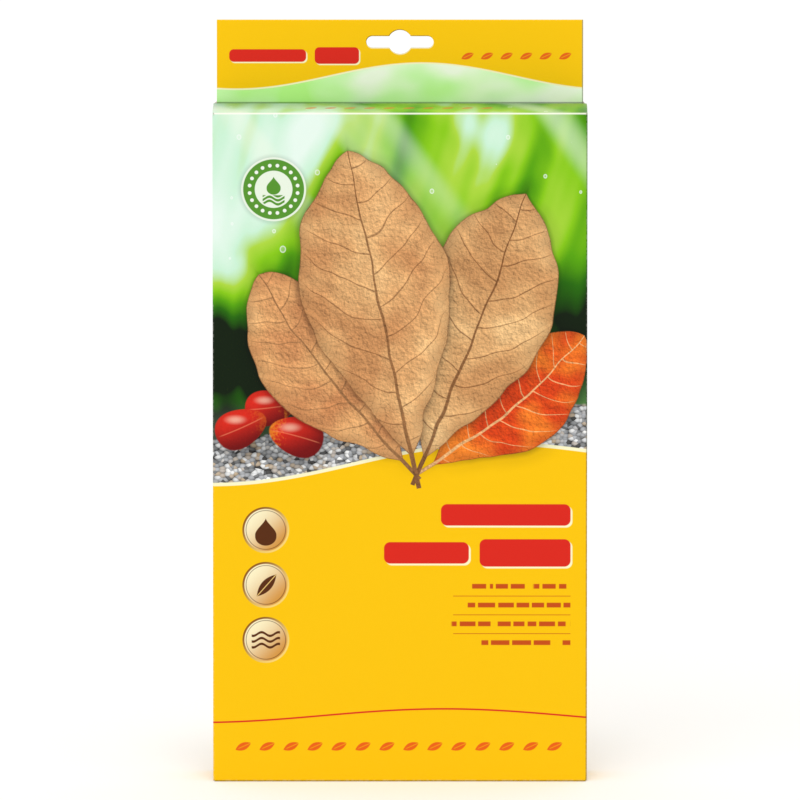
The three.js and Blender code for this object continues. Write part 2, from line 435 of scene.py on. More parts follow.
def turned(x, z, middle_x, middle_z, angle):
    """Coordinates across and along an axis that leaves a middle point at an angle from upright."""
    c, s = math.cos(angle), math.sin(angle)
    across = math_node("MULTIPLY_ADD", x, c, math_node("MULTIPLY_ADD", z, -s, middle_z * s - middle_x * c))
    along = math_node("MULTIPLY_ADD", x, s, math_node("MULTIPLY_ADD", z, c, -middle_x * s - middle_z * c))
    return across, along


def bar(x, z, low, high, radius):
    """Depth inside a rectangle with round corners, in millimetres."""
    middle = [(a + b) / 2 for a, b in zip(low, high)]
    half = [(b - a) / 2 - radius for a, b in zip(low, high)]
    out_x = most(abs(x - middle[0]) - half[0], 0.0)
    out_z = most(abs(z - middle[1]) - half[1], 0.0)
    return radius - reach(out_x, out_z)


def disc(x, z, middle, radius):
    """Depth inside a circle, in millimetres."""
    return radius - reach(x - middle[0], z - middle[1])


def sprig(across, along, length, width):
    """Depth inside a small pointed leaf: two arcs that meet at both ends."""
    share = along / length
    swell = most(share * (1.0 - share), 0.0) * (2.0 * width)
    return swell - abs(across)


# Leaf pattern, shared by the printed leaves and the real ones


def leaf_pattern():
    """A node group that draws a dried leaf.

    Its inputs are the place across and along the leaf and the leaf's length in millimetres, how rusty it is,
    and three textures: mottling, wrinkles and the net of fine veins. Half the blade's width is a sine of a
    power of the share of the length. Side veins are the contours of that share, less a rise that grows with
    the square of the distance from the midrib, so that they curl to the tip; left and right ones alternate.
    Veins and stalk are thicker on a longer leaf.
    It gives the depth inside the outline, the colour with its painted light and shade, and the relief from 0
    to 1.
    """
    name = "dried leaf pattern"
    if name in bpy.data.node_groups:
        return bpy.data.node_groups[name]
    form = bpy.context.scene.leaf_form
    tree = bpy.data.node_groups.new(name, "ShaderNodeTree")
    for slot in ("Across", "Along", "Length", "Rust", "Mottle", "Wrinkle", "Net"):
        tree.interface.new_socket(slot, in_out="INPUT", socket_type="NodeSocketFloat")
    for slot, kind in (("Depth", "Float"), ("Colour", "Color"), ("Relief", "Float")):
        tree.interface.new_socket(slot, in_out="OUTPUT", socket_type="NodeSocket" + kind)
    entry = tree.nodes.new("NodeGroupInput")
    across, along, length, rust, mottle, wrinkle, net = (Num(socket) for socket in list(entry.outputs)[:7])

    q = abs(across) / length
    share = along / length
    kept = most(least(share, 1.0), 0.0)
    swell = most(sine(math.pi * kept**BLADE_SKEW), 0.0) ** BLADE_FULLNESS * DRAWN_HALF_WIDTH
    scallop = sine(share * SCALLOP_RATE) * 0.003 + (mottle - 0.5) * 0.012
    beyond = most(most(-along, along - length), 0.0)
    blade = (swell + scallop * fade(swell, 0.0, 0.06) - q) * length - beyond
    growth = math_node("MULTIPLY_ADD", length, 0.004, 0.4)
    stalk = least(growth * 1.3 - abs(across), least(along + length * 0.1, length * 0.2 - along))
    depth = most(blade, stalk)

    rise = math_node("MULTIPLY_ADD", q, VEIN_LEAN, q * q * VEIN_CURL)
    side = math_node("LESS_THAN", across, 0.0)
    contour = (share - rise + (mottle - 0.5) * 0.012) * VEIN_PAIRS + side * 0.5
    between = fraction(contour) - 0.5
    outwards = q / most(swell, 0.01)
    off_vein = between * length * math_node("MULTIPLY_ADD", q, -VEIN_NARROWING, VEIN_GAP)
    thin = math_node("MULTIPLY_ADD", outwards, -0.22, 0.42) * growth
    vein = 1.0 - fade(abs(off_vein) / thin, 0.35, 1.3)
    vein = vein * fade(share, 0.02, 0.08) * fade(outwards, 1.02, 0.8)
    rib_half = math_node("MULTIPLY_ADD", kept, -0.75, 1.05) * growth
    rib = 1.0 - fade(abs(across) / rib_half, 0.55, 1.2)
    lines = most(vein * 0.8, rib)

    # Painted light and shade in the leaf's colour, on printed and real leaves alike: light and shade on the
    # wrinkles' slopes and on the puckers between the veins, one half of the blade painted lighter, a painted
    # highlight beside each vein, and painted shade within 5 mm of the edge. The net of fine veins is darker
    # colour.
    quilt = math_node("COSINE", contour * (2 * math.pi)) * fade(outwards, 0.0, 0.5)
    lit_side = fade(across, -3.0, 3.0)
    vein_highlight = fade(off_vein, 0.2, 1.0) * fade(off_vein, 3.0, 1.0)
    light = 1.0 + wrinkle + quilt * -0.05 + lit_side * 0.06 + vein_highlight * 0.09
    light = light - net * 0.14 - fade(depth, 5.0, 0.0) * 0.1

    paint = mix(form.shade, form.tan, fade(mottle, 0.3, 0.56))
    paint = mix(paint, form.pale, fade(mottle, 0.5, 0.78))
    paint = mix(paint, mix(form.rust, form.flame, fade(mottle, 0.36, 0.66)), rust)
    vein_paint = mix(form.vein_colour, form.pale, rust)
    scorch = fade(wrinkle * 2.0 + mottle, 0.5, 0.8) * fade(depth, 9.0, 1.0)
    rim = fade(depth, 0.9, 0.3)
    paint = mix(paint, form.vein_colour, most(rim * 0.7, scorch * 0.4))
    paint = mix(paint, vein_paint, lines * 0.82)
    paint = brighten(paint, light)
    relief = most(lines, 0.35 - quilt * 0.3 - net * 0.2)

    exit_node = tree.nodes.new("NodeGroupOutput")
    for slot, value in zip(list(exit_node.inputs)[:3], (depth, paint, relief)):
        feed(slot, value)
    return tree


def draw_leaf(across, along, length, rust, textures):
    """A leaf's depth, colour and relief at a place across and along it."""
    tree = tree_of(across, along)
    node = tree.nodes.new("ShaderNodeGroup")
    node.node_tree = leaf_pattern()
    for slot, value in zip(list(node.inputs), (across, along, length, rust, *textures)):
        feed(slot, value)
    return tuple(Num(output) for output in list(node.outputs)[:3])


def leaf_textures(point, size):
    """Mottling, wrinkles and the net of fine veins for a leaf. Wrinkles are the difference of one noise at
    two places a little apart, which shades its slopes."""
    mottle = noise(point, 30 * size, 2.0, 0.45)
    tree = tree_of(point)
    wrinkle = 0.0
    for blot, depth in ((5.5, 0.7), (1.6, 1.25)):
        step = 0.16 * blot * size
        shift = add_node(tree, "VectorMath", {0: point, 1: (step, step * 1.2, 0)}, operation="ADD")
        slope = noise(Num(shift.outputs[0]), blot * size, 2.0, 0.55) - noise(point, blot * size, 2.0, 0.55)
        wrinkle = slope * depth + wrinkle
    gap = Num(cells(point, 3.4 * size, "DISTANCE_TO_EDGE").outputs["Distance"])
    return mottle, wrinkle, fade(gap, 0.12, 0.02)


# The printed picture, from the back to the front


def shore(x):
    """Height of the line between the picture and the yellow field."""
    wave = sine(x * (1 / SHORE_LENGTH) + 0.6) * SHORE_SWING
    return math_node("MULTIPLY_ADD", x, SHORE_SLOPE, wave + SHORE_HEIGHT)


def water_garden(x, z, colours):
    """Blurred water plants: a tone from clear water to deep shade runs through mint, greens and near black.
    It is soft noise, plus blades of grass that lean with height, plus more shade right and low down."""
    lean = x - sine(z * 0.021) * 15.0
    clouds = noise(place(x * 0.85, z * 0.7), 50, 1.5, 0.4, 0.7)
    blades = noise(place(lean, z * 0.11), 13, 1.0, 0.35)
    hollow = fade(reach((x + 88.0) * 0.62, z - 196.0), 62.0, 18.0)
    den = fade(reach(x - 96.0, (z - 232.0) * 0.8), 58.0, 8.0)
    tone = clouds * 0.95 + blades * 0.42 + x * 0.0021 - fade(z, 232.0, 330.0) * 0.2
    tone = tone + hollow * 0.78 + den * 0.24 - 0.13
    paint = ramp(
        tone,
        (0.04, ink(234, 251, 240)),
        (0.22, colours.mint),
        (0.37, ink(176, 218, 66)),
        (0.49, ink(138, 204, 22)),
        (0.62, colours.green),
        (0.77, ink(40, 108, 6)),
        (0.93, ink(14, 30, 8)),
    )
    slant = x * 0.82 + z * 0.57
    rays = noise(place(slant, z * 0.04), 24, 1.0, 0.3)
    paint = mix(paint, ink(240, 252, 232), fade(rays, 0.54, 0.86) * fade(z, 240.0, 335.0) * 0.5)
    haze = fade(z - shore(x), 44.0, 22.0) * 0.1
    return mix(paint, ink(206, 226, 196), haze)


def bubbles(paint, x, z):
    """Rising bubbles: a circle with a bright rim in some of the cells of a tiling."""
    tiling = cells(place(x, z * 0.85), 19)
    distance = Num(tiling.outputs["Distance"]) * 19.0
    chance = Num(add_node(tree_of(distance), "SeparateColor", {0: Num(tiling.outputs["Color"])}).outputs[0])
    size = chance * 2.6 - 0.9
    inside = fade(size - distance, 0.0, 0.3) * fade(z, 208.0, 222.0)
    rim = fade(size - distance, 0.9, 0.1)
    return mix(paint, ink(250, 255, 250), inside * (rim * 0.7 + 0.14))


def pebble_bed(paint, x, z, edge):
    """Smooth pebbles: cells with a grey from their own chance, dark gaps, and more light on each top."""
    warp = noise(place(x, z), 9, 1.0) * 2.0
    near = fade(z - edge, 34.0, 0.0)
    size = 2.2
    flatness = 1.3
    point = place(x + warp, z * flatness)
    tiling = cells(point, size)
    tree = tree_of(x)
    hue = Num(add_node(tree, "SeparateColor", {0: Num(tiling.outputs["Color"])}).outputs[0])
    centre = Num(add_node(tree, "SeparateXYZ", {0: Num(tiling.outputs["Position"])}).outputs[1])
    stone = ramp(
        hue,
        (0.0, ink(66, 64, 62)),
        (0.2, ink(146, 148, 150)),
        (0.5, ink(186, 188, 192)),
        (0.7, ink(186, 166, 140)),
        (0.77, ink(208, 210, 212)),
        (1.0, ink(244, 244, 242)),
    )
    rounding = Num(tiling.outputs["Distance"])
    top_light = (z * flatness - centre) * (0.34 / size)
    light = 1.1 - rounding * rounding * 1.15 + top_light + (near - 0.5) * 0.2
    stone = brighten(stone, light)
    top = z - edge + noise(place(x, z), 6, 2.0) * 5.0
    return mix(paint, stone, fade(top, 26.5, 24.5))


def almond(paint, x, z, speck, middle, angle, length, ripeness):
    """One ripe fruit: an egg shape with a keel along it, a dark underside, a flush of another hue, freckles
    and a long soft highlight."""
    across, along = turned(x, z, *middle, angle)
    share = along / length
    width = length * 0.36
    taper = math_node("MULTIPLY_ADD", share, 0.5, 1.0)
    body = 1.0 - reach(across * taper / width, share * 2.0)
    lit = fade(z - middle[1] - (x - middle[0]) * 0.4, -width, width)
    skin = mix(ink(120, 14, 14), ink(226, 44, 28), lit)
    flush = fade(share + (speck - 0.5) * 0.5, 0.22, 0.55)
    skin = mix(skin, ink(240, 140, 36), flush * ripeness)
    keel = line(across + share * share * 2.0, 0.0, 0.22, 0.3) * fade(body, 0.05, 0.3)
    skin = mix(skin, ink(255, 150, 110), keel * 0.45)
    skin = brighten(skin, 0.78 + speck * 0.2 + fade(body, 0.0, 0.5) * 0.2)
    high = z - middle[1] - width * 0.42
    spark = reach((x - middle[0] + width * 0.3) * (1 / (width * 0.5)), high * (1 / (width * 0.22)))
    skin = mix(skin, ink(255, 206, 180), fade(spark, 1.4, 0.1) * 0.62)
    under = reach((x - middle[0] - 1.5) / (length * 0.5), (z - middle[1] + 5.5) / width)
    shadow = fade(1.0 - under, -0.5, 0.4)
    paint = brighten(paint, 1.0 - shadow * 0.5)
    return mix(paint, skin, fade(body, 0.0, 0.06))


def almond_fruits(paint, x, z):
    """A few ripe fruits on the pebbles at the left."""
    fruits = (
        ((-64, 187), 1.45, 25, 0.7),
        ((-78, 177), 1.15, 27, 0.25),
        ((-51, 173), -1.3, 28, 0.9),
    )
    speck = noise(place(x, z), 1.5, 2.0, 0.6)
    for middle, angle, length, ripeness in fruits:
        paint = almond(paint, x, z, speck, middle, angle, length, ripeness)
    return paint


def leaf_fan(paint, x, z, textures):
    """A spray of whole dried leaves from one point, the outer ones behind, each with its shadow."""
    root = (8.0, 152.0)
    leaves = (
        (-0.66, 118.0, 0.16),
        (0.86, 100.0, 1.0),
        (0.36, 142.0, 0.0),
        (-0.2, 156.0, 0.06),
    )
    wander = noise(place(x, z), 19, 1.0) - 0.5
    drift = noise(place(z, x), 27, 1.0) - 0.5
    for angle, length, rust in leaves:
        across, along = turned(x, z, *root, angle)
        steady = fade(along, 4.0, 34.0)
        across = across + drift * steady * 5.0
        along = along - 10.0 + wander * steady * 7.0
        bend = sine(along * (math.pi / length)) * (5.0 * angle)
        depth, colour, _ = draw_leaf(across - bend, along, length, rust, textures)
        shadow = fade(depth, -3.2, 1.0) * 0.38 + fade(depth, -11.0, 0.0) * 0.16
        paint = brighten(paint, 1.0 - shadow * fade(along, -14.0, 24.0))
        paint = mix(paint, colour, fade(depth, 0.0, 0.35))
    return paint


def offset_bars(paint, x, z, bars, radius, offset, softness, colours):
    """Red bars with round corners, each with a cream offset below and to the right."""
    for low, high in bars:
        cream = bar(x - offset, z + offset, low, high, radius)
        paint = mix(paint, colours.cream, fade(cream, -0.1, softness))
        paint = mix(paint, colours.red, fade(bar(x, z, low, high, radius), -0.1, softness))
    return paint


def title_bars(paint, x, z, colours):
    """Three red bars in place of a title."""
    bars = (
        ((20, 128), (84, 139)),
        ((-8, 109), (34, 120)),
        ((39, 107.5), (84, 121.5)),
    )
    return offset_bars(paint, x, z, bars, 3.2, 0.9, 0.35, colours)


def word_row(x, row, length, height_in_row, middle, half_height):
    """A thin bar that is broken into words where a random tiling of the row has its borders."""
    gap = Num(cells(place(x, row * 31.0), length, "DISTANCE_TO_EDGE").outputs["Distance"])
    return line(height_in_row, middle, half_height) * fade(gap, 0.05, 0.09)


def text_bars(paint, x, z, colours):
    """Four lines of thin bars with word gaps, and a rule under each of the first three."""
    pitch = 9.4
    top = 101.0
    right = 84.0
    count = math_node("FLOOR", (top - z) / pitch)
    low = fraction((top - z) / pitch) * pitch
    inside = fade(z, top - 4 * pitch, top - 4 * pitch + 0.2) * fade(z, top, top - 0.2)
    start = 31.0 + sine(count * 2.4 + 0.5) * 9.0
    across = fade(x, right, right - 0.3) * fade(x - start, 0.0, 0.3)
    words = word_row(x, count, 9.0, low, 3.2, 1.2) * across
    rule = line(low, pitch - 1.3, 0.16, 0.12) * fade(x, right, right - 0.3) * fade(x, 26.0, 26.3)
    rule = rule * fade(z, top - 3 * pitch - 0.2, top - 3 * pitch)
    return mix(paint, colours.russet, most(words, rule) * inside)


def medal(paint, x, z, middle, radius, colours):
    """A round icon's ground: a gold ring, a dark line and a cream to gold face lit from the upper left."""
    depth = disc(x, z, middle, radius)
    sheen = fade(x - z, middle[0] - middle[1] - 1.4 * radius, middle[0] - middle[1] + 1.4 * radius)
    face = mix(ink(255, 246, 205), ink(214, 150, 62), sheen)
    ring = mix(ink(146, 92, 30), ink(250, 214, 120), sheen)
    paint = mix(paint, ring, fade(depth, -0.1, 0.25))
    paint = mix(paint, face, fade(depth, 0.9, 1.25))
    return mix(paint, colours.umber, line(depth, 1.9, 0.2, 0.15) * 0.7)


def drop(x, z, middle, size):
    """Depth inside a water drop: a circle that narrows with height to a point."""
    height = (z - middle[1]) / size
    narrow = fade(height, 1.5, -0.2)
    lower = 1.0 - reach((x - middle[0]) / size, least(height + 0.35, 0.0) * 1.15)
    return least(lower, narrow - abs(x - middle[0]) / size) * size


def waves(x, z, middle, half_width, pitch=2.9):
    """Three wavy lines in a column, as a cover."""
    ripple = z - middle[1] + sine((x - middle[0]) * 0.75) * 0.9
    stripe = abs(fraction(ripple / pitch + 0.5) - 0.5) * pitch
    kept = fade(abs(ripple), pitch * 1.45, pitch * 1.4)
    return fade(stripe, 0.75, 0.5) * kept * fade(abs(x - middle[0]), half_width, half_width - 0.4)


def round_icons(paint, x, z, colours):
    """A column of three round icons at the left: a drop, a leaf and waves."""
    column = -66.0
    radius = 11.6
    for height in (126.0, 98.5, 71.0):
        paint = medal(paint, x, z, (column, height), radius, colours)
    paint = mix(paint, colours.umber, fade(drop(x, z, (column, 124.6), 5.4), 0.0, 0.3))
    across, along = turned(x, z, column - 4.6, 92.6, 0.72)
    blade = sprig(across, along, 15.0, 5.6)
    paint = mix(paint, colours.umber, fade(blade, 0.0, 0.3))
    paint = mix(paint, ink(244, 204, 120), line(across, 0.0, 0.2, 0.12) * fade(blade, 0.1, 0.5))
    return mix(paint, colours.umber, waves(x, z, (column, 71.0), 7.2))


def seal(paint, x, z, colours):
    """A round badge: a green ring with a dotted circle, a white middle, and a drop over waves."""
    middle = (-62.0, 296.0)
    radius = 16.0
    dx, dz = x - middle[0], z - middle[1]
    depth = disc(x, z, middle, radius)
    paint = brighten(paint, 1.0 - fade(depth, -2.5, 0.5) * 0.22)
    paint = mix(paint, ink(236, 246, 228), fade(depth, -0.1, 0.25))
    paint = mix(paint, colours.badge, fade(depth, 0.9, 1.2) * fade(depth, 6.9, 6.6))
    dot_count = 20
    dot_circle = 11.9
    turn = math_node("ARCTAN2", dx, dz) * (dot_count / (2 * math.pi))
    spoke = (fraction(turn) - 0.5) * (2 * math.pi * dot_circle / dot_count)
    dots = fade(reach(spoke, depth - 4.1), 1.05, 0.75)
    paint = mix(paint, ink(246, 250, 240), dots)
    paint = mix(paint, colours.badge, fade(drop(x, z, (middle[0], middle[1] + 1.6), 3.6), 0.0, 0.3))
    floor_waves = waves(x, z + 4.6, middle, 5.6, 2.0) * fade(z, middle[1] - 2.6, middle[1] - 3.2)
    return mix(paint, colours.badge, floor_waves * fade(depth, 7.2, 7.6))


def leaflet_row(paint, x, z, height, pitch, colour, limit):
    """A row of small pointed leaves that lie end to end, by folding X into one pitch."""
    cell = fraction(x / pitch) * pitch - pitch * 0.42
    across, along = turned(cell, z - height, -pitch * 0.3, -pitch * 0.1, 1.15)
    blade = sprig(across, along, pitch * 0.74, pitch * 0.34)
    vein = line(across, 0.0, 0.14, 0.12) * fade(along, pitch * 0.1, pitch * 0.2)
    cover = fade(blade, 0.0, 0.28) * (1.0 - vein * 0.75) * fade(abs(x), limit, limit - 0.1)
    return mix(paint, colour, cover)


def yellow_field(paint, z, edge, colours):
    """The plain yellow ground below the picture, with a cream keyline along the shore."""
    below = edge - z
    paint = mix(paint, colours.cream, fade(below, -1.1, -0.8))
    return mix(paint, colours.yellow, fade(below, 0.6, 0.9))


def foot_row(paint, x, z, colours):
    """The row of small leaves along the foot of a panel."""
    return leaflet_row(paint, x, z, 17.0, 11.8, colours.orange, 82.6)


def foot_lines(paint, x, z, colours):
    """A red line that swings across the foot of the front, and the row of leaves under it."""
    arch = z - 33.0 - sine(x * 0.026 + 1.0) * 3.4
    paint = mix(paint, colours.red, line(arch, 0.0, 0.42, 0.18))
    return foot_row(paint, x, z, colours)


def back_print(paint, u, z, middle, textures, colours):
    """The back panel: plain yellow with a pale plate of thin bars. Two red bars and a dried leaf are above
    it, and a row of small leaves runs along the foot."""
    x = u - middle
    on_back = fade(u, middle - SIDE + 0.1, middle - SIDE + 0.4)
    ground = mix(colours.yellow, ink(255, 244, 196), fade(bar(x, z, (-76, 60), (76, 228), 4.0), 0.0, 0.3))
    pitch = 6.2
    low = fraction(z * (1 / pitch)) * pitch
    row = math_node("FLOOR", z * (1 / pitch))
    words = word_row(x, row, 10.0, low, pitch / 2, 0.8) * fade(z, 70.0, 70.2) * fade(z, 217.0, 216.8)
    words = words * fade(x + sine(row * 2.1) * 8.0, 60.0, 59.8) * fade(x, -68.0, -67.8)
    ground = mix(ground, colours.russet, words * 0.85)
    for low_corner, high_corner in (((-76, 262), (8, 275)), ((-76, 244), (-24, 255))):
        ground = mix(ground, colours.red, fade(bar(x, z, low_corner, high_corner, 3.2), 0.0, 0.35))
    across, along = turned(x, z, 32.0, 246.0, 0.62)
    depth, leaf, _ = draw_leaf(across, along, 80.0, 0.0, textures)
    ground = brighten(ground, 1.0 - fade(depth, -2.0, 0.5) * 0.3)
    ground = mix(ground, leaf, fade(depth, 0.0, 0.35))
    ground = foot_row(ground, x, z, colours)
    return mix(paint, ground, on_back)


def fold_shade(paint, u, v, right_fold):
    """The folds that turn away from the light, the front's right one and the foot's, are a darker line."""
    right = line(u, right_fold + 0.1, 0.38, 0.22) * fade(v, LID_TOP - 0.2, LID_TOP - 1.0)
    foot = line(v, 0.25, 0.42, 0.2)
    return brighten(paint, 1.0 - most(right, foot) * 0.55)


def lid_shade(paint, v):
    """Painted shade that darkens the print over the lid towards the tab, and a painted highlight along the
    front crease, where it catches the light.
    """
    paint = brighten(paint, 1.0 - fade(v, LID_TOP + 3.0, LID_TOP + 29.0) * 0.36)
    return mix(paint, ink(255, 253, 238), line(v, LID_TOP - 0.4, 0.36, 0.25) * 0.85)


def fold_wear(paint, u, v, folds, rises, grain):
    """Print that has cracked a little along the folds: pale flecks near each line."""
    near = line(u, folds[0], 0.1, 0.4)
    for fold in folds[1:]:
        near = most(near, line(u, fold, 0.1, 0.4))
    for rise in rises:
        near = most(near, line(v, rise, 0.1, 0.4))
    return mix(paint, ink(250, 247, 232), near * fade(grain, 0.36, 0.7) * 0.3)


# Materials


def new_material(name):
    """An empty node material with a Principled BSDF, as its tree and shader."""
    material = bpy.data.materials.new(name)
    material.use_nodes = True
    tree = material.node_tree
    tree.nodes.clear()
    output = tree.nodes.new("ShaderNodeOutputMaterial")
    shader = tree.nodes.new("ShaderNodeBsdfPrincipled")
    tree.links.new(shader.outputs[0], output.inputs[0])
    return material, tree, shader


def blank_point(tree):
    """Place on the unfolded blank, in millimetres, from a piece's own UV map."""
    node = tree.nodes.new("ShaderNodeUVMap")
    node.uv_map = "blank"
    parts = add_node(tree, "SeparateXYZ", {0: Num(node.outputs[0])})
    return Num(parts.outputs[0]) * 1000.0, Num(parts.outputs[1]) * 1000.0


def bump(tree, shader, height, distance, strength=1.0):
    """Relief in a material, from a height of 0 to 1 times a distance in millimetres."""
    inputs = {"Height": height, "Distance": distance * MM, "Strength": strength}
    node = add_node(tree, "Bump", inputs)
    tree.links.new(node.outputs[0], shader.inputs["Normal"])


def varnish(shader, paint, grain):
    """A satin print varnish over coated board, whose white is a little short of pure: the roughness varies
    with the grain, under a faint coat."""
    feed(shader.inputs["Base Color"], brighten(paint, 0.95))
    feed(shader.inputs["Roughness"], math_node("MULTIPLY_ADD", grain, 0.14, 0.3))
    shader.inputs["Specular IOR Level"].default_value = 0.08
    shader.inputs["Coat Weight"].default_value = 0.04
    shader.inputs["Coat Roughness"].default_value = 0.2


def finish_print(tree, shader, paint, u, v, folds, rises):
    """Wears the print along its folds and varnishes it."""
    point = place(u, v)
    grain = noise(point, 1.3, 2.0, 0.6)
    varnish(shader, fold_wear(paint, u, v, folds, rises, grain), grain)
    bump(tree, shader, noise(point, 2.4, 2.0), 0.02)


def printed_board(back_middle, folds):
    """The sleeve, lid and bottom: the whole blank's print."""
    colours = bpy.context.scene.print_colours
    material, tree, shader = new_material("printed board")
    x, z = blank_point(tree)
    textures = leaf_textures(place(x, z), 1.0)
    edge = shore(x)
    paint = water_garden(x, z, colours)
    paint = bubbles(paint, x, z)
    paint = pebble_bed(paint, x, z, edge)
    paint = yellow_field(paint, z, edge, colours)
    paint = almond_fruits(paint, x, z)
    paint = leaf_fan(paint, x, z, textures)
    paint = title_bars(paint, x, z, colours)
    paint = text_bars(paint, x, z, colours)
    paint = round_icons(paint, x, z, colours)
    paint = seal(paint, x, z, colours)
    paint = leaflet_row(paint, x, z, LID_TOP + 13.0, 9.6, colours.orange, 48.0)
    paint = back_print(paint, x, z, back_middle, textures, colours)
    paint = foot_lines(paint, x, z, colours)
    paint = fold_shade(paint, x, z, folds[2])
    paint = lid_shade(paint, z)
    finish_print(tree, shader, paint, x, z, folds, (0.6,))
    return material


def slot_rim(paint, x, z):
    """The slot's rim: shade along its upper left, and light along its lower side."""

    def inside(x, z):
        """Depth inside the slot's outline."""
        half_length, half_height = SLOT_LENGTH / 2, SLOT_HEIGHT / 2
        low, high = (-half_length, SLOT_MIDDLE - half_height), (half_length, SLOT_MIDDLE + half_height)
        return most(bar(x, z, low, high, half_height - 0.01), disc(x, z, (0, SLOT_MIDDLE), SLOT_BULGE / 2))

    paint = mix(paint, ink(255, 244, 190), fade(inside(x - 0.1, z + 0.3), -0.15, 0.1) * 0.8)
    return mix(paint, ink(112, 92, 8), fade(inside(x + 0.2, z - 0.4), -0.15, 0.1) * 0.85)


def printed_tab():
    """The hang tab. Above the fold at its top the blank runs on down its front, so height is mirrored there:
    the front has a yellow top over mint, with a waving keyline between, two red bars and a row of leaves."""
    colours = bpy.context.scene.print_colours
    material, tree, shader = new_material("printed tab")
    x, v = blank_point(tree)
    z = TAB_TOP - abs(v - TAB_TOP)
    on_front = fade(v, TAB_TOP - 0.2, TAB_TOP + 0.1)
    clouds = noise(place(x, z * 1.4), 34, 1.5, 0.5)
    paint = ramp(
        clouds + x * 0.002,
        (0.3, ink(188, 250, 140)),
        (0.46, ink(206, 253, 178)),
        (0.6, ink(228, 255, 210)),
        (0.76, ink(246, 255, 238)),
    )
    swing = z - LID_TOP - 13.5 - sine(x * (1 / 29.0) + 1.2) * 6.5
    paint = mix(paint, colours.cream, fade(swing, -0.6, -0.3))
    paint = mix(paint, colours.yellow, fade(swing, 0.2, 0.5))
    bars = (((-84, 354.5), (-46, 361.0)), ((-42, 353.5), (-20, 362.0)))
    paint = offset_bars(paint, x, z, bars, 2.4, 0.6, 0.3, colours)
    paint = leaflet_row(paint, x - 57.6, z, LID_TOP + 23.0, 9.6, colours.orange, 28.8)
    paint = slot_rim(paint, x, z)
    # Painted shade: a dark line across the tab's front just above the lid, where the gap at the lid's back
    # edge is in shade.
    paint = brighten(paint, 1.0 - line(z, LID_TOP + 0.25, 0.3, 0.35) * 0.64)
    # Painted shade: a grey line down the tab's right edge, where the board's edge is in shade.
    paint = mix(paint, ink(138, 142, 122), fade(x, TAB_HIGH[0] - 0.75, TAB_HIGH[0] - 0.4) * 0.75)
    paint = mix(colours.yellow, paint, on_front)
    finish_print(tree, shader, paint, x, v, (TAB_LOW[0], TAB_HIGH[0]), (TAB_TOP,))
    return material


def plain_board():
    """The board's uncoated side: grey-white with long fibres and specks, quite rough."""
    colours = bpy.context.scene.print_colours
    material, tree, shader = new_material("plain board")
    x, z = blank_point(tree)
    fibres = noise(place(x * 0.35, z), 0.9, 3.0, 0.65)
    cloud = noise(place(x, z), 14, 2.0)
    light = 0.86 + fibres * 0.2 + cloud * 0.08
    paint = brighten(mix(colours.board, ink(196, 182, 158), fade(fibres, 0.62, 0.78) * 0.5), light)
    feed(shader.inputs["Base Color"], paint)
    shader.inputs["Roughness"].default_value = 0.82
    shader.inputs["Specular IOR Level"].default_value = 0.3
    bump(tree, shader, fibres, 0.05)
    return material


def coated_flap(name, bleed_end):
    """The outer side of a flap that tucks in: the picture bleeds over its crease, and the rest is white."""
    material, tree, shader = new_material(name)
    x, z = blank_point(tree)
    grain = noise(place(x, z), 1.6, 2.0, 0.6)
    cloud = noise(place(x, z), 22, 2.0)
    white = brighten(mix(ink(244, 242, 234), ink(232, 228, 216), cloud), 0.94 + grain * 0.08)
    # The picture carries the lid's painted shade and its painted crease highlight.
    picture = lid_shade(water_garden(x, z, bpy.context.scene.print_colours), z)
    paint = mix(picture, white, fade(z + grain * 0.8, bleed_end, bleed_end + 0.3))
    varnish(shader, paint, grain)
    bump(tree, shader, grain, 0.03)
    return material


def tuck_print():
    """The tuck flap, over whose crease the lid's picture bleeds."""
    return coated_flap("tuck print", LID_TOP + 30.2)


def dust_print():
    """The dust flaps, over whose creases the sides' picture bleeds."""
    return coated_flap("dust print", LID_TOP + 1.9)


def cut_edge():
    """The board's cut edge: pale layers of fibre."""
    colours = bpy.context.scene.print_colours
    material, tree, shader = new_material("cut edge")
    x, z = blank_point(tree)
    fibres = noise(place(x, z), 0.35, 3.0, 0.7)
    paint = mix(colours.cut, ink(206, 196, 176), fibres)
    feed(shader.inputs["Base Color"], brighten(paint, 0.85 + fibres * 0.25))
    shader.inputs["Roughness"].default_value = 0.9
    bump(tree, shader, fibres, 0.06)
    return material


def dried_leaf():
    """A real leaf: the shared pattern, with its painted light and shade, on its own blade, with raised veins,
    and rough like dry skin.
    """
    material, tree, shader = new_material("dried leaf")
    across, along = blank_point(tree)
    number = add_node(tree, "Attribute", attribute_name="leaf_number")
    seed = Num(number.outputs["Fac"]) * PATTERN_STEP
    textures = leaf_textures(place(across + seed, along), 1.4)
    rust = fade(fraction(seed * RUST_STEP), 0.55, 1.0) * 0.3
    _, paint, relief = draw_leaf(across, along, DRAWN_LENGTH, rust, textures)
    stalk = fade(along, 6.0, -2.0)
    paint = brighten(mix(paint, ink(128, 84, 48), stalk), 0.84)
    feed(shader.inputs["Base Color"], paint)
    feed(shader.inputs["Roughness"], math_node("MULTIPLY_ADD", textures[0], 0.2, 0.55))
    shader.inputs["Specular IOR Level"].default_value = 0.35
    shader.inputs["Sheen Weight"].default_value = 0.08
    bump(tree, shader, relief + textures[1] * 0.5, 0.25)
    return material


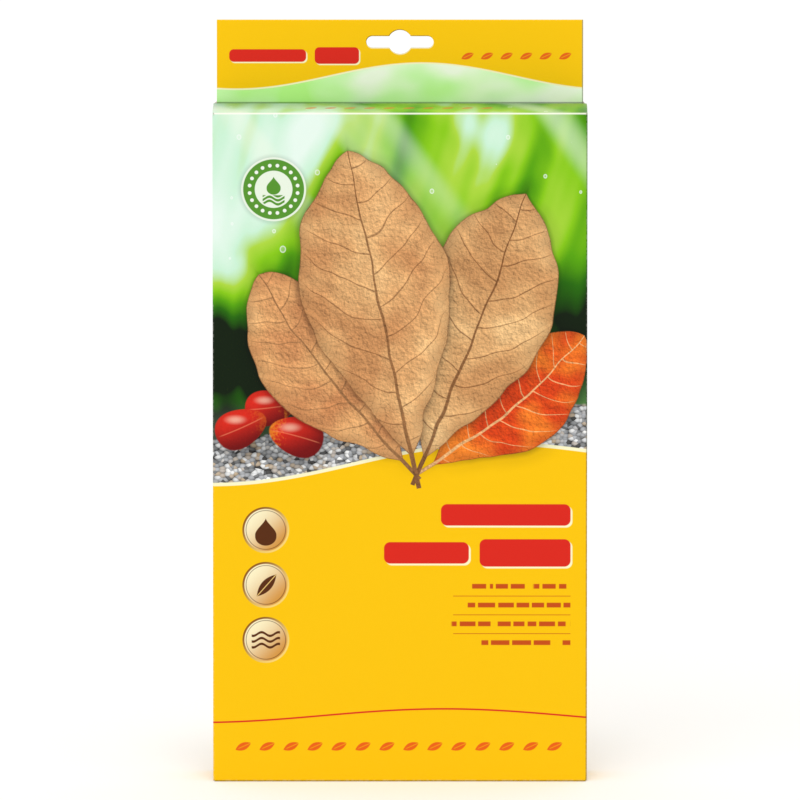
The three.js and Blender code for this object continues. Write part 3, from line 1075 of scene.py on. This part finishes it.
def studio_floor():
    """A pale sweep with the faintest unevenness."""
    material, tree, shader = new_material("studio floor")
    place_on_floor = Num(tree.nodes.new("ShaderNodeTexCoord").outputs["Object"])
    settings = bpy.context.scene.stage_settings
    cloud = noise(place_on_floor, 0.6, 2.0)
    feed(shader.inputs["Base Color"], brighten(settings.floor, 0.99 + cloud * 0.02))
    shader.inputs["Roughness"].default_value = 0.9
    shader.inputs["Specular IOR Level"].default_value = 0.0
    return material


def shared_material(name, make):
    """The material of that name, made once."""
    return bpy.data.materials.get(name) or make()


# Meshes


def facing_out(vertices, faces):
    """The faces of a closed shape, turned round where the sum of its signed volumes shows it inside out."""
    first, second, third, fourth = (vertices[faces[:, corner]] for corner in range(4))
    volumes = np.einsum("ij,ij->i", first, np.cross(second, third) + np.cross(third, fourth))
    return faces if volumes.sum() > 0 else faces[:, ::-1]


def link_mesh(name, vertices, faces, materials):
    """An object from a closed shape whose vertices are in millimetres."""
    faces = facing_out(vertices, faces)
    mesh = bpy.data.meshes.new(name)
    mesh.from_pydata((vertices * MM).tolist(), [], faces.tolist())
    for material in materials:
        mesh.materials.append(material)
    mesh.shade_smooth()
    mesh.set_sharp_from_angle(angle=SHARP_ANGLE)
    obj = bpy.data.objects.new(name, mesh)
    bpy.context.scene.collection.objects.link(obj)
    return obj


def set_uv(obj, uv):
    """A UV map "blank" from one place per vertex, in metres on the unfolded blank."""
    mesh = obj.data
    corner = np.zeros(len(mesh.loops), np.int32)
    mesh.loops.foreach_get("vertex_index", corner)
    layer = mesh.uv_layers.new(name="blank")
    layer.data.foreach_set("uv", (uv[corner] * MM).astype(np.float32).ravel())


def skin_faces(rows, columns):
    """Faces of a closed sheet whose two sides are the same grid: one side, the other turned round, and a rim.
    Returns the faces and 0, 1 or 2 for each, for the first side, the second and the rim."""
    index = np.arange(rows * columns).reshape(rows, columns)
    count = rows * columns
    a, b, c, d = index[:-1, :-1], index[1:, :-1], index[1:, 1:], index[:-1, 1:]
    first = np.stack([a, b, c, d], -1).reshape(-1, 4)
    second = first[:, ::-1] + count
    rim = np.concatenate([index[:, 0], index[-1, 1:], index[-2::-1, -1], index[0, -2:0:-1]])
    after = np.roll(rim, -1)
    edge = np.stack([after, rim, rim + count, after + count], -1)
    counts = [len(first), len(second), len(edge)]
    return np.concatenate([first, second, edge]), np.repeat([0, 1, CUT_EDGE_SLOT], counts)


def folded_line(corners, splits):
    """The middle line of a folded board.

    Straight stretches are split evenly. At each corner the line turns on a circle of the fold's radius that
    touches both stretches. A line whose one inner stretch is too short for that turns on half the stretch.
    Returns the points, the heading at each, the length along the line, and the stretch each point is on,
    with a half for a fold.
    """
    corners = np.asarray(corners, float)
    legs = np.diff(corners, axis=0)
    lengths = np.linalg.norm(legs, axis=1)
    headings = np.arctan2(legs[:, 1], legs[:, 0])
    turns = (np.diff(headings) + np.pi) % (2 * np.pi) - np.pi
    sharp = lengths.min() < 2 * FOLD_RADIUS and len(turns) == 2
    radius = lengths.min() / 2 if sharp else FOLD_RADIUS
    trims = radius * np.tan(np.abs(turns) / 2)
    starts = np.concatenate([[0], trims])
    ends = lengths - np.concatenate([trims, [0]])
    points, facing, along, leg_of = [], [], [], []
    run = 0.0
    for leg, heading in enumerate(headings):
        forward = np.array([np.cos(heading), np.sin(heading)])
        distance = np.linspace(starts[leg], ends[leg], splits[leg] + 1)
        points.append(corners[leg] + np.outer(distance, forward))
        facing.append(np.full(len(distance), heading))
        along.append(run + distance - starts[leg])
        leg_of.append(np.full(len(distance), float(leg)))
        run += ends[leg] - starts[leg]
        if leg == len(turns):
            break
        bend = turns[leg] * np.linspace(0, 1, FOLD_STEPS + 1)[1:-1]
        hand = np.sign(turns[leg])
        left = np.array([-np.sin(heading), np.cos(heading)])
        centre = points[-1][-1] + radius * hand * left
        angle = heading + bend
        points.append(centre - radius * hand * np.stack([-np.sin(angle), np.cos(angle)], -1))
        facing.append(angle)
        along.append(run + radius * np.abs(bend))
        leg_of.append(np.full(len(bend), leg + 0.5))
        run += radius * abs(turns[leg])
    points, facing, along, leg_of = (np.concatenate(part) for part in (points, facing, along, leg_of))
    apart = np.concatenate([[True], np.diff(along) > 1e-6])
    return points[apart], facing[apart], along[apart], leg_of[apart]


def board_sheet(name, folded, axes, outer, limits, rows, blank, materials, bow=None, board=BOARD):
    """A sheet of board along a folded line.

    The line lies in the plane of two axes, and the sheet runs across it, along the third axis, between a
    lower and an upper limit for each point of the line. Its two sides are half the board's thickness either
    side; outer is +1 where the printed side is left of the line's heading. blank turns the length along the
    line and the place across it into a place on the unfolded blank. bow dips the sheet inward.
    """
    points, facing, along, _ = folded
    third = 3 - sum(axes)
    low, high = (np.broadcast_to(limit, along.shape) for limit in limits)
    share = np.linspace(0, 1, rows + 1)
    across = low[:, None] + (high - low)[:, None] * share
    normal = outer * np.stack([-np.sin(facing), np.cos(facing)], -1)
    dip = np.zeros(across.shape) if bow is None else bow(along[:, None], across)
    sides = []
    for offset in (board / 2, -board / 2):
        grid = np.zeros((*across.shape, 3))
        for slot, axis in enumerate(axes):
            grid[..., axis] = points[:, None, slot] + normal[:, None, slot] * (offset - dip)
        grid[..., third] = across
        sides.append(grid.reshape(-1, 3))
    faces, kinds = skin_faces(*across.shape)
    obj = link_mesh(name, np.concatenate(sides), faces, materials)
    obj.data.polygons.foreach_set("material_index", kinds.astype(np.int32))
    u, v = blank(np.broadcast_to(along[:, None], across.shape), across)
    uv = np.stack([u.ravel(), v.ravel()], -1)
    set_uv(obj, np.concatenate([uv, uv]))
    return obj


def sleeve_line():
    """The sleeve seen from above: glue flap, left side, front, right side and back."""
    half = BOARD / 2
    side = SIDE - half
    front = FRONT_FACE + half
    glue = (GLUE_LOW[1] + GLUE_HIGH[1]) / 2 - 0.04
    back = BACK_FACE - half
    start = (GLUE_HIGH[0], glue)
    end = (-side + 0.05, back)
    corners = [start, (-side, glue), (-side, front), (side, front), (side, back), end]
    return folded_line(corners, (6, 10, 46, 10, 46))


def sleeve_places():
    """Lengths along the sleeve's line of the front's middle, the corner folds and the back's middle."""
    points, _, along, leg = sleeve_line()
    middle = along[leg == 2].mean()
    folds = [along[leg == fold].mean() - middle for fold in (0.5, 1.5, 2.5, 3.5)]
    back = along[leg == 4].min() + points[leg == 4][0, 0] - middle
    return middle, folds, back


def board_print():
    """The whole blank's print, whose folds are where the sleeve has them."""
    _, folds, back = sleeve_places()
    return shared_material("printed board", lambda: printed_board(back, folds))


def board_skins(outside):
    """The three materials of a board: outside, inside and cut edge."""
    return [outside, shared_material("plain board", plain_board), shared_material("cut edge", cut_edge)]


def dress(obj, nodes, body=None):
    """Takes the place of frame nodes, and rides on a body if one is given."""
    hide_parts(*nodes)
    if body:
        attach(obj, body)
    return obj


def build_sleeve():
    """Glue flap, sides, front and back as one strip. Its corners run a little past the hems, where the lid
    and the bottom boards turn over between them. The glue flap is cut short at both ends, but its corner
    isn't, which closes the seam. The front and the sides dip by a sine squared each way."""
    sizes = bpy.context.scene.carton_sizes
    folded = sleeve_line()
    points, _, along, leg = folded
    middle, _, _ = sleeve_places()
    flap = leg < 0.5
    lap = np.clip((points[:, 0] - GLUE_LOW[0]) / (GLUE_HIGH[0] - GLUE_LOW[0]), 0, 1) * GLUE_TAPER
    corner = (leg % 1 > 0) & (leg > 1)
    low = np.where(corner, CORNER_FOOT, FOOT_SEAM)
    low = np.where(flap, GLUE_LOW[2] + lap, low)
    high = np.where(corner, CORNER_TOP, TOP_SEAM)
    high = np.where(flap, GLUE_HIGH[2] - lap, high)
    depths = {1: sizes.side_bow / MM, 2: sizes.front_bow / MM, 3: sizes.side_bow / MM}

    def bow(length, height):
        """How far a place on the sleeve dips inward."""
        dip = np.zeros(np.broadcast_shapes(length.shape, height.shape))
        rise = np.sin(np.pi * np.clip((height - FOOT_SEAM) / (TOP_SEAM - FOOT_SEAM), 0, 1)) ** 2
        for number, depth in depths.items():
            start, end = along[leg == number].min(), along[leg == number].max()
            swell = np.sin(np.pi * np.clip((length - start) / (end - start), 0, 1)) ** 2
            dip += depth * swell * rise
        return dip

    sleeve = board_sheet(
        "sleeve", folded, (0, 1), -1, (low, high), sizes.panel_rows,
        lambda length, height: (length - middle, height), board_skins(board_print()), bow,
    )
    nodes = ("front_panel", "back_panel", "left_side_panel", "right_side_panel", "glue_flap")
    dress(sleeve, nodes, "carton")


def euro_slot_outline(steps=16):
    """The slot's outline in X and Z: a bar with round ends and a round bulge in the middle."""
    end, bulge = SLOT_HEIGHT / 2, SLOT_BULGE / 2
    far = SLOT_LENGTH / 2 - end
    start = math.asin(end / bulge)
    arcs = (
        (0.0, bulge, math.pi + start, 2 * math.pi - start),
        (far, end, -math.pi / 2, math.pi / 2),
        (0.0, bulge, start, math.pi - start),
        (-far, end, math.pi / 2, 1.5 * math.pi),
    )
    points = []
    for middle, radius, first, last in arcs:
        angle = np.linspace(first, last, steps)
        x, z = middle + radius * np.cos(angle), SLOT_MIDDLE + radius * np.sin(angle)
        points.append(np.stack([x, z], -1))
    return np.concatenate(points)


def slot_punch(materials):
    """A prism with the slot's outline that goes through both plies."""
    start = TAB_FRONT_LOW[1] - 1
    depth = 4
    outline = euro_slot_outline()
    count = len(outline)
    near = np.stack([outline[:, 0], np.full(count, start), outline[:, 1]], -1)
    far = near + np.array([0, depth, 0])
    mesh = bpy.data.meshes.new("slot_punch")
    ring = np.arange(count)
    after = np.roll(ring, -1)
    walls = np.stack([ring, ring + count, after + count, after], -1).tolist()
    caps = [ring.tolist(), (ring[::-1] + count).tolist()]
    mesh.from_pydata((np.concatenate([near, far]) * MM).tolist(), [], walls + caps)
    for material in materials:
        mesh.materials.append(material)
    slots = np.full(len(mesh.polygons), CUT_EDGE_SLOT, np.int32)
    mesh.polygons.foreach_set("material_index", slots)
    punch = bpy.data.objects.new("slot_punch", mesh)
    bpy.context.scene.collection.objects.link(punch)
    around = np.cumsum(np.linalg.norm(np.roll(outline, 1, 0) - outline, axis=1))
    set_uv(punch, np.concatenate([np.stack([around, end[:, 1]], -1) for end in (near, far)]))
    return punch


def punch_through(obj, punch):
    """Cuts a prism out of an object and removes the prism."""
    cut = obj.modifiers.new("slot", "BOOLEAN")
    cut.operation = "DIFFERENCE"
    cut.solver = "EXACT"
    cut.object = punch
    bpy.context.view_layer.update()
    graph = bpy.context.evaluated_depsgraph_get()
    mesh = bpy.data.meshes.new_from_object(obj.evaluated_get(graph))
    obj.modifiers.clear()
    obj.data = mesh
    bpy.data.objects.remove(punch)
    mesh.set_sharp_from_angle(angle=SHARP_ANGLE)


def build_hang_tab():
    """The tab: up the back, where it narrows a little above the sleeve, a tight turn at the top and down the
    front to a foot that stands between the side panels."""
    ply = BOARD - 0.02
    back = TAB_HIGH[1] - ply / 2
    front = TAB_FRONT_LOW[1] + ply / 2
    top = TAB_TOP - ply / 2
    corners = [(back, TOP_SEAM), (back, top), (front, top), (front, TAB_FRONT_LOW[2])]
    folded = folded_line(corners, (34, 1, 40))
    points, _, along, leg = folded
    hem = (points[:, 1] < LID_TOP) & (leg == 0)
    low = np.where(hem, HEM_LEFT, TAB_LOW[0])
    high = np.where(hem, CREASE_EDGE, TAB_HIGH[0])
    turn = along[np.argmax(points[:, 1])]
    skins = board_skins(shared_material("printed tab", printed_tab))
    tab = board_sheet(
        "hang_tab", folded, (1, 2), -1, (low, high), 60,
        lambda length, width: (width, TAB_TOP + length - turn), skins, board=ply,
    )
    punch_through(tab, slot_punch(skins))
    dress(tab, ("header_back_ply", "header_front_ply"), "carton")


def build_lid_board():
    """The lid: from the front's hem over the crease and back across the top."""
    half = BOARD / 2
    front, top = FRONT_FACE + half, LID_TOP - half
    folded = folded_line([(front, TOP_SEAM), (front, top), (TUCK_SEAM, top)], (2, 20))
    wide = np.where(folded[3] < 1, CREASE_EDGE, LID_HIGH[0])
    skins = board_skins(board_print())
    lid = board_sheet(
        "lid_board", folded, (1, 2), 1, (-wide, wide), 46,
        lambda length, width: (width, TOP_SEAM + length), skins,
    )
    dress(lid, ("lid",))
    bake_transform(lid)


def build_tuck_board():
    """The tuck flap: over the lid's back crease, where it tapers, and down to round lower corners."""
    half = BOARD / 2
    down = np.array([-math.sin(TUCK_TILT), -math.cos(TUCK_TILT)])
    hinge = np.array([LID_HIGH[1], LID_TOP]) + half * np.array([-math.cos(TUCK_TILT), math.sin(TUCK_TILT)])
    top = LID_TOP - half
    corner = hinge + down * (top - hinge[1]) / down[1]
    folded = folded_line([(TUCK_SEAM, top), corner, hinge + down * TUCK_LENGTH], (2, 26))
    _, _, along, leg = folded
    to_end = along[-1] - along
    drawn_in = TUCK_CORNER - np.sqrt(TUCK_CORNER**2 - np.clip(TUCK_CORNER - to_end, 0, TUCK_CORNER) ** 2)
    crease_start, crease_end = along[leg == 0].max(), along[leg == 1].min()
    taper = np.clip((along - crease_start) / (crease_end - crease_start), 0, 1)
    wide = LID_HIGH[0] + (TUCK_HALF_WIDTH - LID_HIGH[0]) * taper - drawn_in
    lid_length = TUCK_SEAM - FRONT_FACE
    skins = board_skins(shared_material("tuck print", tuck_print))
    tuck = board_sheet(
        "tuck_board", folded, (1, 2), 1, (-wide, wide), 46,
        lambda length, width: (width, LID_TOP + lid_length + length), skins,
    )
    dress(tuck, ("tuck_flap",))
    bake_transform(tuck)


def side_place(sign):
    """How far along the sleeve's line a depth is on the right side panel, or on the left one for -1."""
    points, _, along, leg = sleeve_line()
    first = np.argmax(leg == {1: 3, -1: 1}[sign])
    start = along[first] - sleeve_places()[0]
    return lambda depth: start + sign * (depth - points[first, 1])


def build_dust_board(name, node, sign):
    """A dust flap: from a side's hem over the crease and inward under the lid. Its front edge slopes back."""
    half = BOARD / 2
    side, top = sign * (SIDE - half), DUST_HIGH[2] - half
    tip = sign * DUST_LOW[0]
    folded = folded_line([(side, TOP_SEAM), (side, top), (tip, top)], (1, 20))
    points, _, _, leg = folded
    inward = np.clip(DUST_HIGH[0] - np.abs(points[:, 0]), 0, None)
    low = np.where(leg < 0.2, HEM_FRONT, DUST_LOW[1] + inward * DUST_FRONT_SLOPE)
    high = np.where(leg < 0.2, HEM_BACK, DUST_HIGH[1] - inward * DUST_BACK_SLOPE)
    across = side_place(sign)
    skins = board_skins(shared_material("dust print", dust_print))
    flap = board_sheet(
        name, folded, (0, 2), sign * -1, (low, high), 16,
        lambda length, depth: (across(depth), TOP_SEAM + length), skins,
    )
    dress(flap, (node,))
    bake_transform(flap)


def build_bottom():
    """The glued bottom: an outer flap from the front, an inner one from the back and two dust flaps from the
    sides, each from its panel's hem round the bottom crease."""
    half = BOARD / 2
    skins = board_skins(board_print())

    def at_front(length, width):
        """A place of the outer flap on the blank, under the front."""
        return width, FOOT_SEAM - length

    front = FRONT_FACE + half
    outer_z = (FLOOR_OUTER_LOW[2] + FLOOR_OUTER_HIGH[2]) / 2
    folded = folded_line([(front, FOOT_SEAM), (front, outer_z), (BACK_FACE - 1.1, outer_z)], (2, 20))
    wide = np.where(folded[3] < 1, CREASE_EDGE, FLOOR_OUTER_HIGH[0])
    outer = board_sheet("bottom_outer_board", folded, (1, 2), -1, (-wide, wide), 46, at_front, skins)
    dress(outer, ("bottom_outer_flap",), "carton")

    back = BACK_FACE - half
    inner_z = (FLOOR_INNER_LOW[2] + FLOOR_INNER_HIGH[2]) / 2
    folded = folded_line([(back, FOOT_SEAM), (back, inner_z), (HEM_FRONT, inner_z)], (2, 20))
    low = np.where(folded[3] < 1, HEM_LEFT, FLOOR_INNER_LOW[0])
    high = np.where(folded[3] < 1, CREASE_EDGE, FLOOR_INNER_HIGH[0])
    back_middle = sleeve_places()[2]
    inner = board_sheet(
        "bottom_inner_board", folded, (1, 2), 1, (low, high), 46,
        lambda length, width: (back_middle - width, FOOT_SEAM - length), skins,
    )
    dress(inner, ("bottom_inner_flap",), "carton")

    dust_z = (FLOOR_DUST_LOW[2] + FLOOR_DUST_HIGH[2]) / 2
    for side_name, sign in (("left", -1), ("right", 1)):
        side = sign * (SIDE - half)
        tip = sign * FLOOR_DUST_LOW[0]
        folded = folded_line([(side, FOOT_SEAM), (side, dust_z), (tip, dust_z)], (1, 16))
        inward = np.clip(SIDE - np.abs(folded[0][:, 0]), 0, None)
        taper = np.clip(inward / BOTTOM_DUST_LENGTH, 0, 1)
        low = np.where(folded[3] < 0.2, HEM_FRONT, FRONT_FACE + 0.9 + BOTTOM_DUST_FRONT_TAPER * taper)
        high = np.where(folded[3] < 0.2, HEM_BACK, BACK_FACE - 1.4 - BOTTOM_DUST_BACK_TAPER * taper)
        across = side_place(sign)
        flap = board_sheet(
            f"bottom_dust_board_{side_name}", folded, (0, 2), sign, (low, high), 12,
            lambda length, depth: (across(depth), FOOT_SEAM - length), skins,
        )
        dress(flap, (f"bottom_dust_flap_{side_name}",), "carton")


def leaf_draws():
    """The same seeded draws that shape the leaves of the frame, in the same order."""
    state = LEAF_SEED

    def draw():
        """The next number from -1 to 1."""
        nonlocal state
        state = (state * 1664525 + 1013904223) % 4294967296
        return state / 2147483648 - 1

    leaves = []
    for number in range(1, LEAF_COUNT + 1):
        length = LEAF_LENGTH * (1 - LEAF_SPREAD * (0.5 + 0.5 * draw()))
        leaf = {
            "length": min(length, LAST_LEAF_LENGTH) if number == LEAF_COUNT else length,
            "width": LEAF_WIDTH * (1 + LEAF_SPREAD * draw()),
            "turn": LEAF_TURN * draw(),
            "x": LEAF_SIDESTEP * draw(),
            "y": FIRST_LEAF_Y + LEAF_PITCH * (number - 1),
            "bow": LEAF_BOW * draw(),
            "phase": math.pi * draw(),
            "wave_length": OWN_WAVE_LENGTH + OWN_WAVE_SPREAD * draw(),
        }
        leaves.append(leaf)
    return leaves


def leaf_half_width(share, leaf):
    """Half a blade's width: a sine of a power of the share of its length, scalloped a little."""
    swell = np.maximum(np.sin(np.pi * share**BLADE_SKEW), 0) ** BLADE_FULLNESS
    return leaf["width"] / 2 * swell * (1 + 0.012 * np.sin(SCALLOP_RATE * share))


def leaf_surface(leaf, number):
    """One leaf as two grids, the front and the back.

    Rows run from the stalk's foot to the tip, and columns from edge to edge, closer at the midrib. The edge
    is nibbled inward. The blade waves as the frame's does, swells between its side veins, and has raised
    veins, a groove along the front of the midrib and a round rib behind it.
    """
    form = bpy.context.scene.leaf_form
    rng = np.random.default_rng(LEAF_SEED + number)
    even = np.linspace(0, 1, form.rows)
    share = (1 - ROW_CROWDING) * even + ROW_CROWDING * (1 - np.cos(np.pi * even)) / 2
    blade_length = leaf["length"] - LEAF_STALK
    stalk = np.linspace(0, LEAF_STALK, STALK_ROWS + 1)[:-1]
    height = np.concatenate([stalk, LEAF_STALK + blade_length * share])
    share = np.concatenate([np.zeros(STALK_ROWS), share])
    stalk_half = STALK_HALF_WIDTH + (TIP_HALF_WIDTH - STALK_HALF_WIDTH) * share
    half = np.maximum(leaf_half_width(share, leaf), stalk_half)
    spread = np.linspace(-1, 1, form.columns)
    spread = np.sign(spread) * np.abs(spread) ** COLUMN_CROWDING
    nibble = np.zeros((len(height), 2))
    for scale, depth in ((9, 0.5), (23, 0.3), (51, 0.2)):
        knots = rng.random((scale, 2)) * depth
        at = np.linspace(0, scale - 1, len(height))
        nibble += np.stack([np.interp(at, np.arange(scale), knots[:, side]) for side in (0, 1)], -1)
    on_blade = np.clip(half / 20, 0, 1)
    edge = half[:, None] - nibble * on_blade[:, None] * NIBBLE_DEPTH
    across = np.where(spread < 0, edge[:, :1], edge[:, 1:]) * spread
    height = height[:, None]
    share = share[:, None]

    q = np.abs(across) / blade_length
    contour = (share - VEIN_LEAN * q - VEIN_CURL * q * q) * VEIN_PAIRS + 0.5 * (across < 0)
    apart = blade_length * (VEIN_GAP - VEIN_NARROWING * q)
    off_vein = np.abs(contour - np.floor(contour) - 0.5) * apart
    outwards = np.abs(across) / np.maximum(half[:, None], 1)
    on_leaf = np.clip(share * 12, 0, 1) * np.clip((1 - share) * 12, 0, 1)
    vein = form.vein / MM * np.exp(-((off_vein / VEIN_SPREAD) ** 2)) * (1 - 0.7 * outwards) * on_leaf
    swelling = form.pucker / MM * np.cos(2 * np.pi * contour) * np.clip(outwards * 2, 0, 1) * on_leaf

    wave_phase = height / SHARED_WAVE_LENGTH + SHARED_WAVE_START
    shared = SHARED_WAVE * np.sin(wave_phase) * np.cos(across / SHARED_WAVE_WIDTH)
    grow = np.clip(across / (LEAF_WIDTH / 2), -1, 1)
    own = OWN_WAVE * grow * np.sin(height / leaf["wave_length"] + leaf["phase"])
    rib_height = RIB_HEIGHT * (1 - RIB_TAPER * height / leaf["length"])
    ridge = rib_height * np.exp(-((across / RIB_HALF_WIDTH) ** 2) * 1.6)
    groove = GROOVE_DEPTH * np.exp(-((across / 1.2) ** 2))
    middle = leaf["x"] + leaf["bow"] * np.sin(np.pi * height / leaf["length"])
    x = middle + across * math.cos(leaf["turn"]) + height * math.sin(leaf["turn"])
    z = LEAF_FOOT + height * math.cos(leaf["turn"]) - across * math.sin(leaf["turn"])
    waved = leaf["y"] + BLADE_BEHIND + shared + own + swelling
    front = waved + groove
    back = waved + form.blade / MM + np.maximum(ridge, vein)
    drawn = DRAWN_LENGTH / blade_length
    along = np.broadcast_to((height - LEAF_STALK) * drawn, across.shape)
    uv = np.stack([across * drawn, along], -1)
    return np.stack([x, front, z], -1), np.stack([x, back, z], -1), uv


def build_leaf(leaf, number):
    """One leaf as a closed mesh that knows its number, which its material reads."""
    front, back, uv = leaf_surface(leaf, number)
    faces, _ = skin_faces(*front.shape[:2])
    vertices = np.concatenate([front.reshape(-1, 3), back.reshape(-1, 3)])
    materials = [shared_material("dried leaf", dried_leaf)]
    obj = link_mesh(f"dried_leaf_{number:02d}", vertices, faces, materials)
    set_uv(obj, np.concatenate([uv.reshape(-1, 2)] * 2))
    layer = obj.data.attributes.new("leaf_number", "FLOAT", "POINT")
    layer.data.foreach_set("value", np.full(len(obj.data.vertices), number, np.float32))
    dress(obj, (f"leaf_{number:02d}",), "carton")


# Stage


def add_sun(name, strength, azimuth, elevation, angle):
    """A sun whose light comes from an azimuth, 0 in front and positive to the right, and an elevation."""
    light = bpy.data.lights.new(name, "SUN")
    light.energy = strength
    light.angle = math.radians(angle)
    obj = bpy.data.objects.new(name, light)
    obj.rotation_euler = (math.radians(90 - elevation), 0, math.radians(azimuth))
    bpy.context.scene.collection.objects.link(obj)


def build_floor():
    """A wide square just under the carton."""
    mesh = bpy.data.meshes.new("studio_floor")
    corners = [(-1, -1), (1, -1), (1, 1), (-1, 1)]
    places = [(STAGE_HALF * x, STAGE_HALF * y, -STAGE_SINK) for x, y in corners]
    mesh.from_pydata(places, [], [(0, 1, 2, 3)])
    mesh.materials.append(studio_floor())
    obj = bpy.data.objects.new("studio_floor", mesh)
    bpy.context.scene.collection.objects.link(obj)


def build_lights(settings):
    """Even light from all round, a soft key from the upper left and a light from above."""
    world = bpy.data.worlds.new("studio")
    world.use_nodes = True
    background = world.node_tree.nodes["Background"]
    background.inputs["Color"].default_value = (1, 1, 1, 1)
    background.inputs["Strength"].default_value = settings.sky
    bpy.context.scene.world = world
    add_sun("key_light", settings.key, azimuth=-32, elevation=42, angle=45)
    add_sun("top_light", settings.top, azimuth=4, elevation=76, angle=14)


def build_camera(settings):
    """A long lens: it takes in the frame's width at the camera's distance from the carton's front."""
    data = bpy.data.cameras.new("camera")
    data.lens = data.sensor_width * settings.distance / settings.frame_width
    data.clip_start, data.clip_end = CLIP_NEAR, CLIP_FAR
    camera = bpy.data.objects.new("camera", data)
    rise = settings.height_angle
    target = np.array([0, FRONT_FACE * MM, settings.frame_middle])
    camera.location = target + settings.distance * np.array([0, -math.cos(rise), math.sin(rise)])
    camera.rotation_euler = (math.pi / 2 - rise, 0, 0)
    bpy.context.scene.collection.objects.link(camera)
    bpy.context.scene.camera = camera


# Operators


class CARTON_OT_sleeve(bpy.types.Operator):
    """Builds the sleeve: front, back, sides and glue flap"""

    bl_idname = "carton.sleeve"
    bl_label = "Sleeve"

    def execute(self, context):
        build_sleeve()
        return {"FINISHED"}


class CARTON_OT_hang_tab(bpy.types.Operator):
    """Builds the two-ply hang tab and punches its slot"""

    bl_idname = "carton.hang_tab"
    bl_label = "Hang tab"

    def execute(self, context):
        build_hang_tab()
        return {"FINISHED"}


class CARTON_OT_closures(bpy.types.Operator):
    """Builds the lid, its tuck flap, the dust flaps and the glued bottom"""

    bl_idname = "carton.closures"
    bl_label = "Lid, flaps and bottom"

    def execute(self, context):
        build_lid_board()
        build_tuck_board()
        build_dust_board("dust_board_left", "dust_flap_left", -1)
        build_dust_board("dust_board_right", "dust_flap_right", 1)
        build_bottom()
        return {"FINISHED"}


class CARTON_OT_leaves(bpy.types.Operator):
    """Builds the stack of dried leaves"""

    bl_idname = "carton.leaves"
    bl_label = "Dried leaves"

    def execute(self, context):
        for number, leaf in enumerate(leaf_draws(), start=1):
            build_leaf(leaf, number)
        return {"FINISHED"}


class CARTON_OT_stage(bpy.types.Operator):
    """Adds the floor, the lights and the camera"""

    bl_idname = "carton.stage"
    bl_label = "Stage"

    def execute(self, context):
        settings = context.scene.stage_settings
        build_floor()
        build_lights(settings)
        build_camera(settings)
        context.scene.view_settings.view_transform = "Standard"
        return {"FINISHED"}


OPERATORS = (CARTON_OT_sleeve, CARTON_OT_hang_tab, CARTON_OT_closures, CARTON_OT_leaves, CARTON_OT_stage)


class CARTON_PT_panel(bpy.types.Panel):
    """Lists the carton's pieces and their settings"""

    bl_idname = "CARTON_PT_panel"
    bl_label = "Leaf Carton"
    bl_space_type = "VIEW_3D"
    bl_region_type = "UI"
    bl_category = "Leaf Carton"

    def draw(self, context):
        layout = self.layout
        for operator in OPERATORS:
            layout.operator(operator.bl_idname)
        for group, kind in GROUPS.items():
            box = layout.box()
            box.label(text=group.replace("_", " ").capitalize())
            for name in kind.__annotations__:
                box.prop(getattr(context.scene, group), name)


CLASSES = (*GROUPS.values(), *OPERATORS, CARTON_PT_panel)


def register():
    for cls in CLASSES:
        bpy.utils.register_class(cls)
    for name, kind in GROUPS.items():
        setattr(bpy.types.Scene, name, bpy.props.PointerProperty(type=kind))


def unregister():
    for name in GROUPS:
        delattr(bpy.types.Scene, name)
    for cls in reversed(CLASSES):
        bpy.utils.unregister_class(cls)


def main():
    """Builds the scene."""
    register()
    bpy.ops.carton.sleeve()
    bpy.ops.carton.hang_tab()
    bpy.ops.carton.closures()
    bpy.ops.carton.leaves()
    bpy.ops.carton.stage()


if __name__ == "__main__":
    main()
